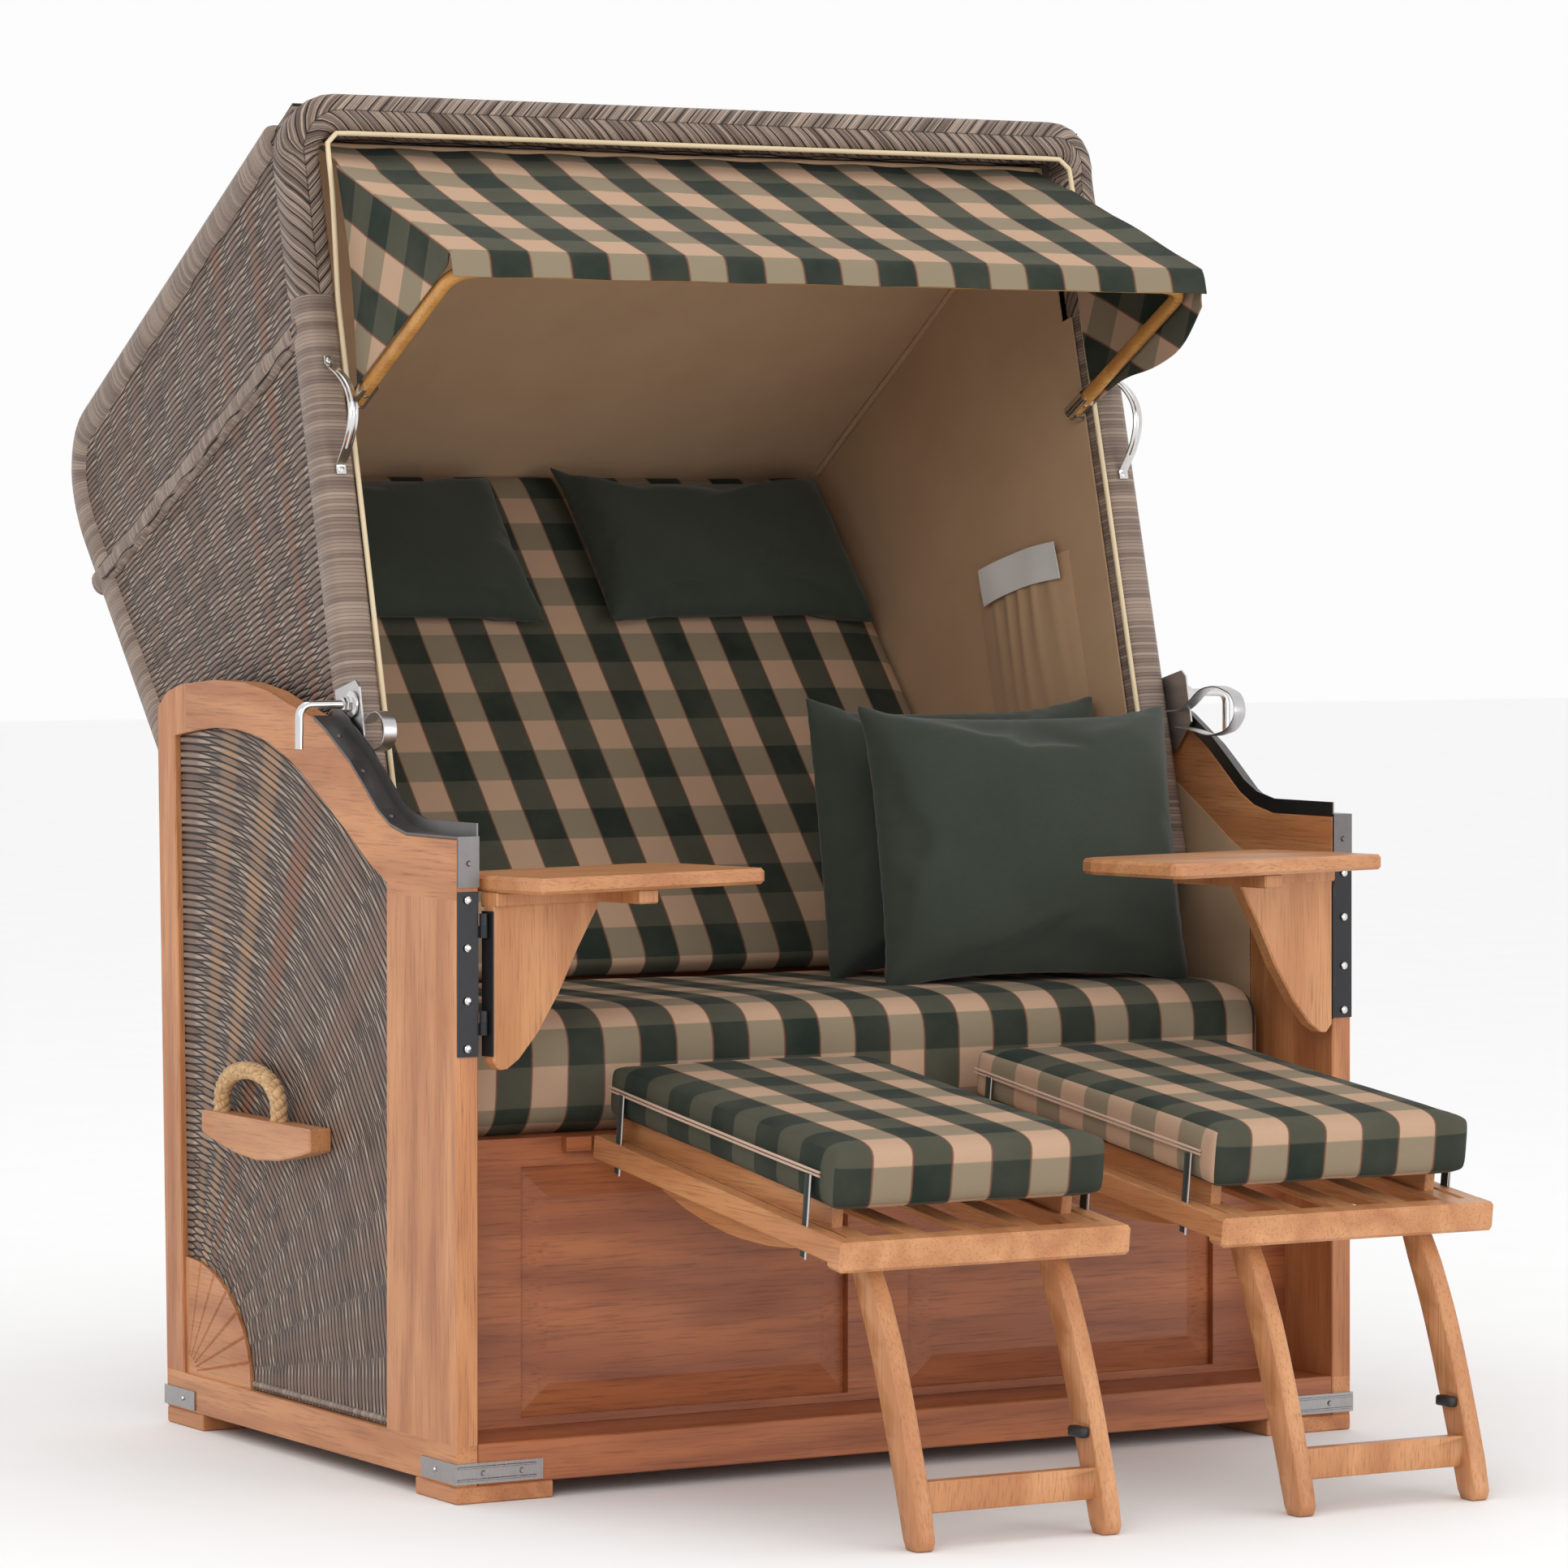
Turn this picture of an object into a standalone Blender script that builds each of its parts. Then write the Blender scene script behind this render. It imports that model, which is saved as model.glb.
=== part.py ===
"""Two-seat hooded beach chair: wooden base, woven reclining hood, awning, swing-out trays, footrests."""
import bmesh
import bpy
import math
from mathutils import Matrix, Vector

# driving sizes (metres)
CLEAR = 0.0003            # gap between pieces that touch
OVERRUN = 0.004           # how far a cutter passes the face it cuts

# base
WIDTH = 1.26              # over both sides
BOARD = 0.028             # thickness of every side board
FRONT_Y = -0.4045         # front face of the front posts
FOOT_HEIGHT = 0.020
FOOT_WIDTH = 0.1265
FOOT_LENGTH = 0.107
POST_WIDTH = 0.184
POST_TOP = 0.712
REAR_POST_WIDTH = 0.052
REAR_LEAN_TOP = 0.871
REAR_FOOT_Y = 0.4045
REAR_TOP_Y = 0.4361
SIDE_RAIL_TOP = 0.067
ARM_Z = 0.771             # top of the arm at its front
CROWN_RISE = 0.1724       # arch above the arm
WEAVE_THICK = 0.009
WEAVE_RECESS = 0.008
QUARTER_LENGTH = 0.190
QUARTER_HEIGHT = 0.146
QUARTER_THICK = 0.014
QUARTER_GROOVE = 0.003
QUARTER_RAYS = 7

# each pair: share of the side's depth, share of the arch's rise
OUTER_SHARES = (
    (0.0, 0.0), (0.157, 0.0), (0.208, 0.052), (0.247, 0.145), (0.299, 0.332), (0.338, 0.467),
    (0.378, 0.574), (0.418, 0.682), (0.458, 0.763), (0.548, 0.861), (0.609, 0.936),
    (0.693, 0.992), (0.801, 1.0), (0.917, 0.959), (0.967, 0.901), (1.0, 0.79))
INNER_SHARES = (
    (0.273, -0.224), (0.338, -0.041), (0.418, 0.171), (0.499, 0.375), (0.554, 0.487),
    (0.609, 0.572), (0.665, 0.622), (0.721, 0.650), (0.801, 0.653), (0.865, 0.626))

# base front, back and seat
RAIL_LOW = FOOT_HEIGHT + CLEAR
RAIL_HEIGHT = 0.034
RAIL_DEPTH = 0.024
FLOOR_THICK = 0.014
PANEL_FRONT_Y = -0.300
PANEL_THICK = 0.020
SEAT_Z = 0.410            # top of the front panel and of the seat deck
PANEL_RAIL = 0.034        # visible height of the panel frame's rails
PANEL_STILE = 0.110
PANEL_MULLION = 0.085
FIELD_BEVEL = 0.038
FIELD_RISE = 0.007
FIELD_PLATE = 0.008
DECK_THICK = 0.014
DECK_NARROW_Y = 0.050     # behind this the deck leaves room for the hood's arms
ARM_SPACE = 0.032
REAR_PANEL_TOP = 0.600
REAR_PANEL_THICK = 0.016
REAR_PANEL_Y = 0.360
PIVOT_RAIL_WIDTH = 0.060
PIVOT_RAIL_THICK = 0.020

# seat cushion
CUSHION_FRONT_Y = -0.298
CUSHION_REAR_Y = 0.235
CUSHION_HEIGHT = 0.138
CUSHION_EDGE = 0.032
CUSHION_CROWN = 0.010

# metal and small wooden pieces on the base
SHEET = 0.002
BRACKET_HEIGHT = 0.024
BRACKET_FRONT = 0.112
BRACKET_SIDE = 0.088
BRACKET_RIB = 0.0015
BRACKET_LIFT = 0.003
SCREW_RADIUS = 0.0042
SCREW_HEAD = 0.0022
STRIP_THICK = 0.003
STRIP_DROP = 0.056        # part of the strip that turns down over the arm's end
FLANGE_HEIGHT = 0.018
ROPE_BLOCK_FRONT_Y = -0.0575
ROPE_BLOCK_LENGTH = 0.3115
ROPE_BLOCK_TOP = 0.408
ROPE_BLOCK_HEIGHT = 0.050
ROPE_BLOCK_DEPTH = 0.030
ROPE_RADIUS = 0.0115
ROPE_RISE = 0.056
ROPE_FRONT_Y = 0.060
ROPE_REAR_Y = 0.224
HOOK_LIP = 0.003          # the frame runs this far behind its hinge line
HOOK_HEIGHT = 0.018
HOOK_WIDTH = 0.034

# trays
HINGE_OFFSET = 0.0045     # hinge axis from the post's corner, both ways
KNUCKLE_RADIUS = 0.005
KNUCKLE_HEIGHT = 0.014
KNUCKLE_SHARES = (0.13, 0.72)
LEAF_LOW = 0.5185
LEAF_HEIGHT = 0.1915
TRAY_THICK = 0.019
TRAY_LOW = 0.709
TRAY_LENGTH = 0.362
TRAY_WIDTH = 0.190
TRAY_CORNER = 0.040
TRAY_ROUND = 0.004
TRAY_SLANT = 0.016        # lets the tray swing in past square without touching the arm
WING_THICK = 0.019
WING_LENGTH = 0.175
WING_LOW = 0.500
WING_BATTEN_HEIGHT = 0.017
WING_BATTEN_WIDTH = 0.030
WING_BATTEN_LENGTH = 0.165
WING_SHARES = ((1.0, 0.0), (0.985, 0.055), (0.80, 0.29), (0.62, 0.55), (0.42, 0.78),
               (0.24, 0.93), (0.13, 0.985),
               (0.06, 0.99), (0.0, 0.94))
TRAY_LEFT_REST = math.radians(14.0)
TRAY_RIGHT_REST = math.radians(12.0)

# hood, in its own upright frame from the pivot
PIVOT_Y = 0.250
PIVOT_Z = 0.170
HOOD_REST = math.radians(-14.5)
HOOD_SIDE_GAP = 0.007     # between the hood and the boards of the base
HOOD_HALF = WIDTH / 2 - BOARD - HOOD_SIDE_GAP
WALL_DEPTH = 0.052
HOOD_INNER = HOOD_HALF - WALL_DEPTH
HOOD_FRONT_Y = -0.475
HOOD_BASE_Z = 0.420
HOOD_TOP_FRONT_Z = 1.428
ROOF_REAR_Y = 0.2546
ROOF_REAR_Z = 1.208
SHOULDER_Y = 0.286
SHOULDER_Z = 1.138
HIP_Y = 0.276
HIP_Z = 1.069
HOOD_BASE_REAR_Y = -0.050
WALL_THICK = 0.012
LINER_THICK = 0.004
HOOD_POST_RADIUS = 0.0255
POST_CENTRE_Y = -0.448
PLAIT_RADIUS = 0.0225
PLAIT_Y = -0.470
PLAIT_Z = 1.4055
PLAIT_END_Z = 1.170
EDGE_RADIUS = 0.025
BELT_RADIUS = 0.017
BASE_ROLL_RADIUS = 0.018
BELT_FRONT_Z = 1.136
BELT_REAR_Y = 0.215
BELT_REAR_Z = 0.985
LINER_FRONT_DROP = 0.046
LINER_TOP_FRONT_Z = HOOD_TOP_FRONT_Z - LINER_FRONT_DROP
LINER_TOP_REAR_Y = 0.243
LINER_REAR_DROP = 0.064
LINER_TOP_REAR_Z = ROOF_REAR_Z - LINER_REAR_DROP
BACK_RECESS = 0.004
HEM_RADIUS = 0.010
BACK_FOOT_Z = 0.396       # the back cushion hangs lower than the hood's hem
BACK_CUSHION_THICK = 0.045
BACK_SIDE_GAP = 0.007
BACK_CUSHION_HALF = HOOD_INNER - BACK_SIDE_GAP
BACK_CUSHION_SHORT = 0.030
ARM_THICK = 0.018
ARM_WIDTH = 0.056
ARM_TOP_Y = -0.190
PIVOT_BOLT_RADIUS = 0.008
PIVOT_BOLT_THICK = 0.004
GRAB_LOW_Z = 0.955
GRAB_HIGH_Z = 1.075
GRAB_OUT = 0.052
GRAB_RADIUS = 0.006
GRAB_PLATE = 0.018
LATCH_PLATE_LOW_Z = 0.575
LATCH_PLATE_HIGH_Z = 0.675
LATCH_PLATE_Y = -0.512
LATCH_STRIP = 0.018
LATCH_THICK = 0.0025
LATCH_REACH = 0.130
LATCH_HEIGHT = 0.062
POCKET_LOW_Z = 0.640
POCKET_HIGH_Z = 0.860
POCKET_FRONT_Y = -0.345
POCKET_REAR_Y = -0.130
POCKET_THICK = 0.012

# neck pillows and throw pillows
NECK_HEIGHT = 0.262
NECK_THICK = 0.070
NECK_DROP = 0.024         # below the roof lining, along the back
NECK_RIGHT_WIDTH = 0.420
NECK_RIGHT_X = 0.300
NECK_RIGHT_SINK = 0.005   # the cushions are drawn in, so they nest
NECK_LEFT_WIDTH = 0.440
NECK_LEFT_X = -0.225
NECK_LEFT_SINK = 0.0042
THROW_WIDTH = 0.445
THROW_HEIGHT = 0.375
THROW_THICK = 0.115
THROW_FRONT_LEFT = (0.092, -0.142)
THROW_FRONT_RIGHT = (0.512, -0.2155)
THROW_FRONT_LEAN = 14.0
THROW_FRONT_SINK = 0.0085     # the seat's crown falls towards its front edge
THROW_REAR_LEFT = (0.101, 0.0)
THROW_REAR_RIGHT = (0.506, -0.040)
THROW_REAR_LEAN = 12.0
THROW_REAR_SINK = 0.0074

# awning
CAP_Y = -0.445
CAP_Z = 1.038
BOW_REACH = 0.305
BOW_RISE = 0.068
BOW_WIDTH = 0.022
BOW_THICK = 0.012
BOW_CORNER = 0.070
SOCKET_LENGTH = 0.045
SOCKET_WALL = 0.003
CLOTH_THICK = 0.0035
CLOTH_TOP_Y = -0.432
CLOTH_TOP_Z = 1.374
CLOTH_DROP = 0.026
CLOTH_GAP = 0.004
FLAP_LOW = 0.020
FLAP_DROP = 0.018

# clamps
CLAMP_Y = -0.4937
CLAMP_Z = 0.647
CLAMP_DISC_RADIUS = 0.018
CLAMP_DISC_THICK = 0.0035
CLAMP_HUB_RADIUS = 0.007
CLAMP_ROD_RADIUS = 0.0038
CLAMP_REACH = 0.675
CLAMP_DROP = 0.054

# footrests
FOOTREST_X = (-0.213, 0.297)
FOOTREST_Y = -0.318
FOOTREST_Z = 0.397
FOOTREST_SLOPE = math.radians(7.2)
FRAME_WIDTH = 0.380
FRAME_LENGTH = 0.5866
FRAME_RAIL = 0.022
FRAME_HEIGHT = 0.028
FRONT_BAR_DEPTH = 0.032
FRONT_BAR_HEIGHT = 0.034
SLAT_WIDTH = 0.026
SLAT_THICK = 0.008
SLAT_PITCH = 0.075
SLATS = 5
BOW_START_SHARE = 0.1705
BOW_END_SHARE = 0.8183
BOW_DEPTH = 0.026
RUNNER_THICK = 0.016
PAD_WIDTH = 0.365
PAD_SHARE = 0.9291
PAD_LENGTH = FRAME_LENGTH * PAD_SHARE
PAD_REAR = 0.062
PAD_FRONT = 0.071
PAD_BACK_STEP = 0.004
PAD_LIFT = 0.025
LEDGE_WIDTH = 0.014
LEDGE_STEP = 0.009
LEDGE_BACK = 0.046

# legs
LEG_HINGE_SHARE = 0.8796
LEG_HINGE = FRAME_LENGTH * LEG_HINGE_SHARE
LEG_HINGE_DROP = 0.010
LEG_SPACING = 0.245
LEG_THICK = 0.022
LEG_ROD = 0.003
STRETCHER_Z = 0.056
STRETCHER_HEIGHT = 0.036
STRETCHER_THICK = 0.020
CLIP_Z = 0.112
CLIP_WIDTH = 0.012
CLIP_LENGTH = 0.030
LEG_TOP_RADIUS = 0.014
LEG_DEPTH = 0.042
LEG_FORWARD = 0.125
# share of the leg's drop, share of its forward reach, share of its depth
LEG_SHARES = ((0.0, 0.0, 0.67), (0.07, 0.03, 0.82), (0.16, 0.13, 0.97), (0.34, 0.33, 1.0), (0.62, 0.62, 1.0),
              (0.86, 0.88, 0.95), (0.97, 0.985, 0.86), (1.0, 1.0, 0.60))

for old in list(bpy.data.objects):
    bpy.data.objects.remove(old, do_unlink=True)

chair = bpy.data.collections.new("beach_chair")
cutters = bpy.data.collections.new("beach_chair_cutters")
bpy.context.scene.collection.children.link(chair)
bpy.context.scene.collection.children.link(cutters)


# materials
def material(name, colour, rough, metal=0.0):
    made = bpy.data.materials.new(name)
    made.use_nodes = True
    shader = made.node_tree.nodes["Principled BSDF"]
    shader.inputs["Base Color"].default_value = (*colour, 1.0)
    shader.inputs["Roughness"].default_value = rough
    shader.inputs["Metallic"].default_value = metal
    return made


LOOKS = {
    "wood": ((0.55, 0.24, 0.10), 0.45, 0.0),
    "wicker": ((0.15, 0.12, 0.10), 0.60, 0.0),
    "green_check": ((0.16, 0.17, 0.12), 0.90, 0.0),
    "green_cloth": ((0.03, 0.05, 0.035), 0.90, 0.0),
    "beige_cloth": ((0.45, 0.32, 0.20), 0.90, 0.0),
    "steel": ((0.60, 0.59, 0.60), 0.25, 1.0),
    "black_steel": ((0.03, 0.03, 0.035), 0.40, 1.0),
    "rope": ((0.60, 0.42, 0.24), 0.90, 0.0),
    "bow_wood": ((0.60, 0.34, 0.10), 0.40, 0.0),
    "black_plastic": ((0.02, 0.02, 0.02), 0.45, 0.0),
}


# helpers
def empty(name, parent, place, turn=(0.0, 0.0, 0.0)):
    made = bpy.data.objects.new(name, None)
    chair.objects.link(made)
    made.location = place
    made.rotation_euler = turn
    made.parent = parent
    return made


def object_from(mesh_builder):
    """A loose object from a bmesh that one function fills."""
    mesh = bpy.data.meshes.new("piece")
    work = bmesh.new()
    mesh_builder(work)
    work.to_mesh(mesh)
    work.free()
    made = bpy.data.objects.new("piece", mesh)
    chair.objects.link(made)
    return made


def box(low, high, round_edge=0.0):
    """A box between two corners, with its long edges eased if a radius is given."""
    size = Vector(high) - Vector(low)
    centre = (Vector(high) + Vector(low)) / 2

    def fill(work):
        bmesh.ops.create_cube(work, size=1.0)
        bmesh.ops.scale(work, vec=size, verts=work.verts)
        bmesh.ops.translate(work, vec=centre, verts=work.verts)

    made = object_from(fill)
    if round_edge:
        ease(made, round_edge)
    return made


def ease(made, radius, segments=1):
    bevel = made.modifiers.new("edges", "BEVEL")
    bevel.width = radius
    bevel.segments = segments
    bevel.limit_method = "ANGLE"


def rod(start, end, radius, sides=12, tip=None):
    """A round bar between two points; tip is a second radius for a domed head."""
    start, end = Vector(start), Vector(end)
    along = end - start

    def fill(work):
        bmesh.ops.create_cone(work, cap_ends=True, segments=sides, radius1=radius,
                              radius2=radius if tip is None else tip, depth=along.length)
        turn = along.to_track_quat("Z", "Y").to_matrix().to_4x4()
        bmesh.ops.transform(work, matrix=Matrix.Translation((start + end) / 2) @ turn, verts=work.verts)

    return object_from(fill)


def plate(outlines, low, high, plane="YZ", round_edge=0.0):
    """Flat outlines cut from sheet; further outlines are holes. The sheet lies between two coordinates."""
    curve = bpy.data.curves.new("plate", "CURVE")
    curve.dimensions = "2D"
    curve.fill_mode = "BOTH"
    curve.extrude = (high - low) / 2
    for outline in outlines:
        spline = curve.splines.new("POLY")
        spline.points.add(len(outline) - 1)
        for point, (a, b) in zip(spline.points, outline):
            point.co = (a, b, 0.0, 1.0)
        spline.use_cyclic_u = True
    made = bpy.data.objects.new("plate", curve)
    chair.objects.link(made)
    middle = (low + high) / 2
    if plane == "YZ":
        made.matrix_world = Matrix(((0, 0, 1, middle), (1, 0, 0, 0), (0, 1, 0, 0), (0, 0, 0, 1)))
    elif plane == "XZ":
        made.matrix_world = Matrix(((1, 0, 0, 0), (0, 0, -1, middle), (0, 1, 0, 0), (0, 0, 0, 1)))
    else:
        made.location.z = middle
    solid = as_mesh(made)
    if round_edge:
        ease(solid, round_edge)
    return solid


def tube(points, radius, closed=False, resolution=1):
    curve = bpy.data.curves.new("tube", "CURVE")
    curve.dimensions = "3D"
    curve.bevel_depth = radius
    curve.bevel_resolution = resolution
    curve.use_fill_caps = not closed
    spline = curve.splines.new("POLY")
    spline.points.add(len(points) - 1)
    for point, place in zip(spline.points, points):
        point.co = (*place, 1.0)
    spline.use_cyclic_u = closed
    made = bpy.data.objects.new("tube", curve)
    chair.objects.link(made)
    return as_mesh(made)


def as_mesh(made):
    """The evaluated shape as a plain welded mesh, in the same place."""
    bpy.context.view_layer.update()
    graph = bpy.context.evaluated_depsgraph_get()
    mesh = bpy.data.meshes.new_from_object(made.evaluated_get(graph))
    mesh.transform(made.matrix_world)
    work = bmesh.new()
    work.from_mesh(mesh)
    bmesh.ops.remove_doubles(work, verts=work.verts, dist=CLEAR / 10)
    bmesh.ops.recalc_face_normals(work, faces=work.faces)
    work.to_mesh(mesh)
    work.free()
    bpy.data.objects.remove(made, do_unlink=True)
    solid = bpy.data.objects.new("piece", mesh)
    chair.objects.link(solid)
    return solid


def combine(first, others, operation):
    """Boolean of the first piece with each of the others, which are used up."""
    for other in others:
        chair.objects.unlink(other)
        cutters.objects.link(other)
        other.hide_render = True
        other.display_type = "WIRE"
        change = first.modifiers.new("shape", "BOOLEAN")
        change.operation = operation
        change.object = other
        first = as_mesh(first)
        bpy.data.objects.remove(other, do_unlink=True)
    return first


def largest(made):
    """The piece without the slivers that a trim leaves in its corners."""
    work = bmesh.new()
    work.from_mesh(made.data)
    left = set(work.verts)
    bodies = []
    while left:
        body = {left.pop()}
        edge = list(body)
        while edge:
            near = {e.other_vert(v) for v in edge for e in v.link_edges} - body
            body |= near
            edge = list(near)
        left -= body
        bodies.append(body)
    keep = max(bodies, key=len)
    bmesh.ops.delete(work, geom=[v for v in work.verts if v not in keep], context="VERTS")
    work.to_mesh(made.data)
    work.free()
    return made


def node(name, look, parent, pieces, smooth=35.0):
    """One named object from pieces that run into one another."""
    made = combine(as_mesh(pieces[0]), [as_mesh(piece) for piece in pieces[1:]], "UNION")
    made.name = name
    made.data.name = name
    made.data.shade_smooth()
    made.data.set_sharp_from_angle(angle=math.radians(smooth))
    made.data.materials.clear()
    made.data.materials.append(material(name, *LOOKS[look]))
    made.parent = parent
    return made


def inset(outline, distance):
    """The outline moved inward by a distance, whichever way it runs."""
    count = len(outline)
    area = sum(outline[i][0] * outline[(i + 1) % count][1] - outline[(i + 1) % count][0] * outline[i][1]
               for i in range(count))
    side = 1.0 if area > 0 else -1.0
    moved = []
    for i in range(count):
        before, here, after = (Vector(outline[j % count]) for j in (i - 1, i, i + 1))
        one = (here - before).normalized()
        two = (after - here).normalized()
        normal_one = Vector((-one.y, one.x)) * side
        normal_two = Vector((-two.y, two.x)) * side
        corner = normal_one + normal_two
        moved.append(tuple(here + corner * (distance * 2 / corner.length_squared)))
    return moved


def arc(centre, radii, start, end, steps):
    return [(centre[0] + radii[0] * math.cos(start + (end - start) * i / steps),
             centre[1] + radii[1] * math.sin(start + (end - start) * i / steps)) for i in range(steps + 1)]


def sweep_strip(points, width, thick, axis_low):
    """A flat bent strip: a path in YZ thickened to one side, as wide as stated along X."""
    outer = list(points)
    inner = offset_path(points, thick)
    return plate([outer + inner[::-1]], axis_low, axis_low + width)


def offset_path(points, distance):
    """An open path moved sideways by a distance."""
    moved = []
    for i, here in enumerate(points):
        here = Vector(here)
        before = Vector(points[i - 1]) if i else None
        after = Vector(points[i + 1]) if i + 1 < len(points) else None
        one = (here - before).normalized() if before is not None else (after - here).normalized()
        two = (after - here).normalized() if after is not None else one
        normal = Vector((-one.y, one.x)) + Vector((-two.y, two.x))
        moved.append(tuple(here + normal * (distance * 2 / normal.length_squared)))
    return moved


def soft(size, cuts, edge, crown, waist=0.0, corner_pull=0.0):
    """A cushion round the origin: a coarse cage with a crown, drawn-in sides and pulled corners."""
    def fill(work):
        bmesh.ops.create_cube(work, size=1.0)
        for axis, count in enumerate(cuts):
            if count:
                along = [e for e in work.edges
                         if abs((e.verts[0].co - e.verts[1].co)[axis]) > 0.5 * e.calc_length()]
                bmesh.ops.subdivide_edges(work, edges=along, cuts=count, use_grid_fill=True)
        for vert in work.verts:
            share = vert.co * 2
            flat_x = 1 - share.x ** 4
            flat_y = 1 - share.y ** 4
            rim = max(abs(share.x), abs(share.y))
            height = (size[2] - edge * (1 - flat_x * flat_y)) / 2 + crown * flat_x * flat_y
            draw = 1 - waist * (1 - share.x ** 2) * (1 if abs(share.y) > 0.99 else 0)
            draw_x = 1 - waist * (1 - share.y ** 2) * (1 if abs(share.x) > 0.99 else 0)
            pull = 1 + corner_pull * (share.x * share.y) ** 2
            vert.co.x = share.x * size[0] / 2 * draw_x * pull
            vert.co.y = share.y * size[1] / 2 * draw * pull
            vert.co.z = share.z * (height if rim < 0.99 else height)
    made = object_from(fill)
    form = made.modifiers.new("form", "SUBSURF")
    form.levels = 1
    form.render_levels = 1
    return as_mesh(made)


def at_height(one, two, z):
    """The point at a height on the line through two points."""
    return (one[0] + (two[0] - one[0]) * (z - one[1]) / (two[1] - one[1]), z)


def place(made, matrix):
    made.matrix_world = matrix
    return as_mesh(made)


def frame_matrix(origin, along_x, along_y):
    """A placing matrix from an origin and two directions of the piece."""
    x = Vector(along_x).normalized()
    z = x.cross(Vector(along_y)).normalized()
    y = z.cross(x)
    turn = Matrix((x, y, z)).transposed().to_4x4()
    return Matrix.Translation(origin) @ turn


def screw(position, direction):
    """A domed screw head let into the sheet whose face is at a position."""
    way = Vector(direction).normalized()
    foot = Vector(position) - way * SHEET / 2
    return rod(foot, foot + way * (SCREW_HEAD + SHEET / 2), SCREW_RADIUS, sides=8, tip=SCREW_RADIUS * 0.6)


def mirrored(outline, side):
    return [(side * a, b) for a, b in outline]


def between(side, near, far):
    """Low and high X of a plate between two distances from the middle, on the left (-1) or right (1)."""
    return (min(side * near, side * far), max(side * near, side * far))


# shared places
half = WIDTH / 2
inner = half - BOARD
side_depth = REAR_TOP_Y - FRONT_Y


def side_point(shares):
    return (FRONT_Y + side_depth * shares[0], ARM_Z + CROWN_RISE * shares[1])


arch_outer = [side_point(pair) for pair in OUTER_SHARES]
arch_inner = [side_point(pair) for pair in INNER_SHARES]


def rear_edge(z, width=0.0):
    """Y of the leaning rear post's back edge at a height, less a width."""
    top_width = REAR_POST_WIDTH
    return REAR_FOOT_Y + (REAR_TOP_Y - REAR_FOOT_Y) * z / REAR_LEAN_TOP - width * top_width


post_rear_y = FRONT_Y + POST_WIDTH
seat_floor = RAIL_LOW + RAIL_HEIGHT

root = empty("chair_root", None, (0.0, 0.0, 0.0))
hood = empty("hood_pivot", root, (0.0, PIVOT_Y, PIVOT_Z), (HOOD_REST, 0.0, 0.0))
awning = empty("awning_pivot", hood, (0.0, CAP_Y, CAP_Z))


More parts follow.
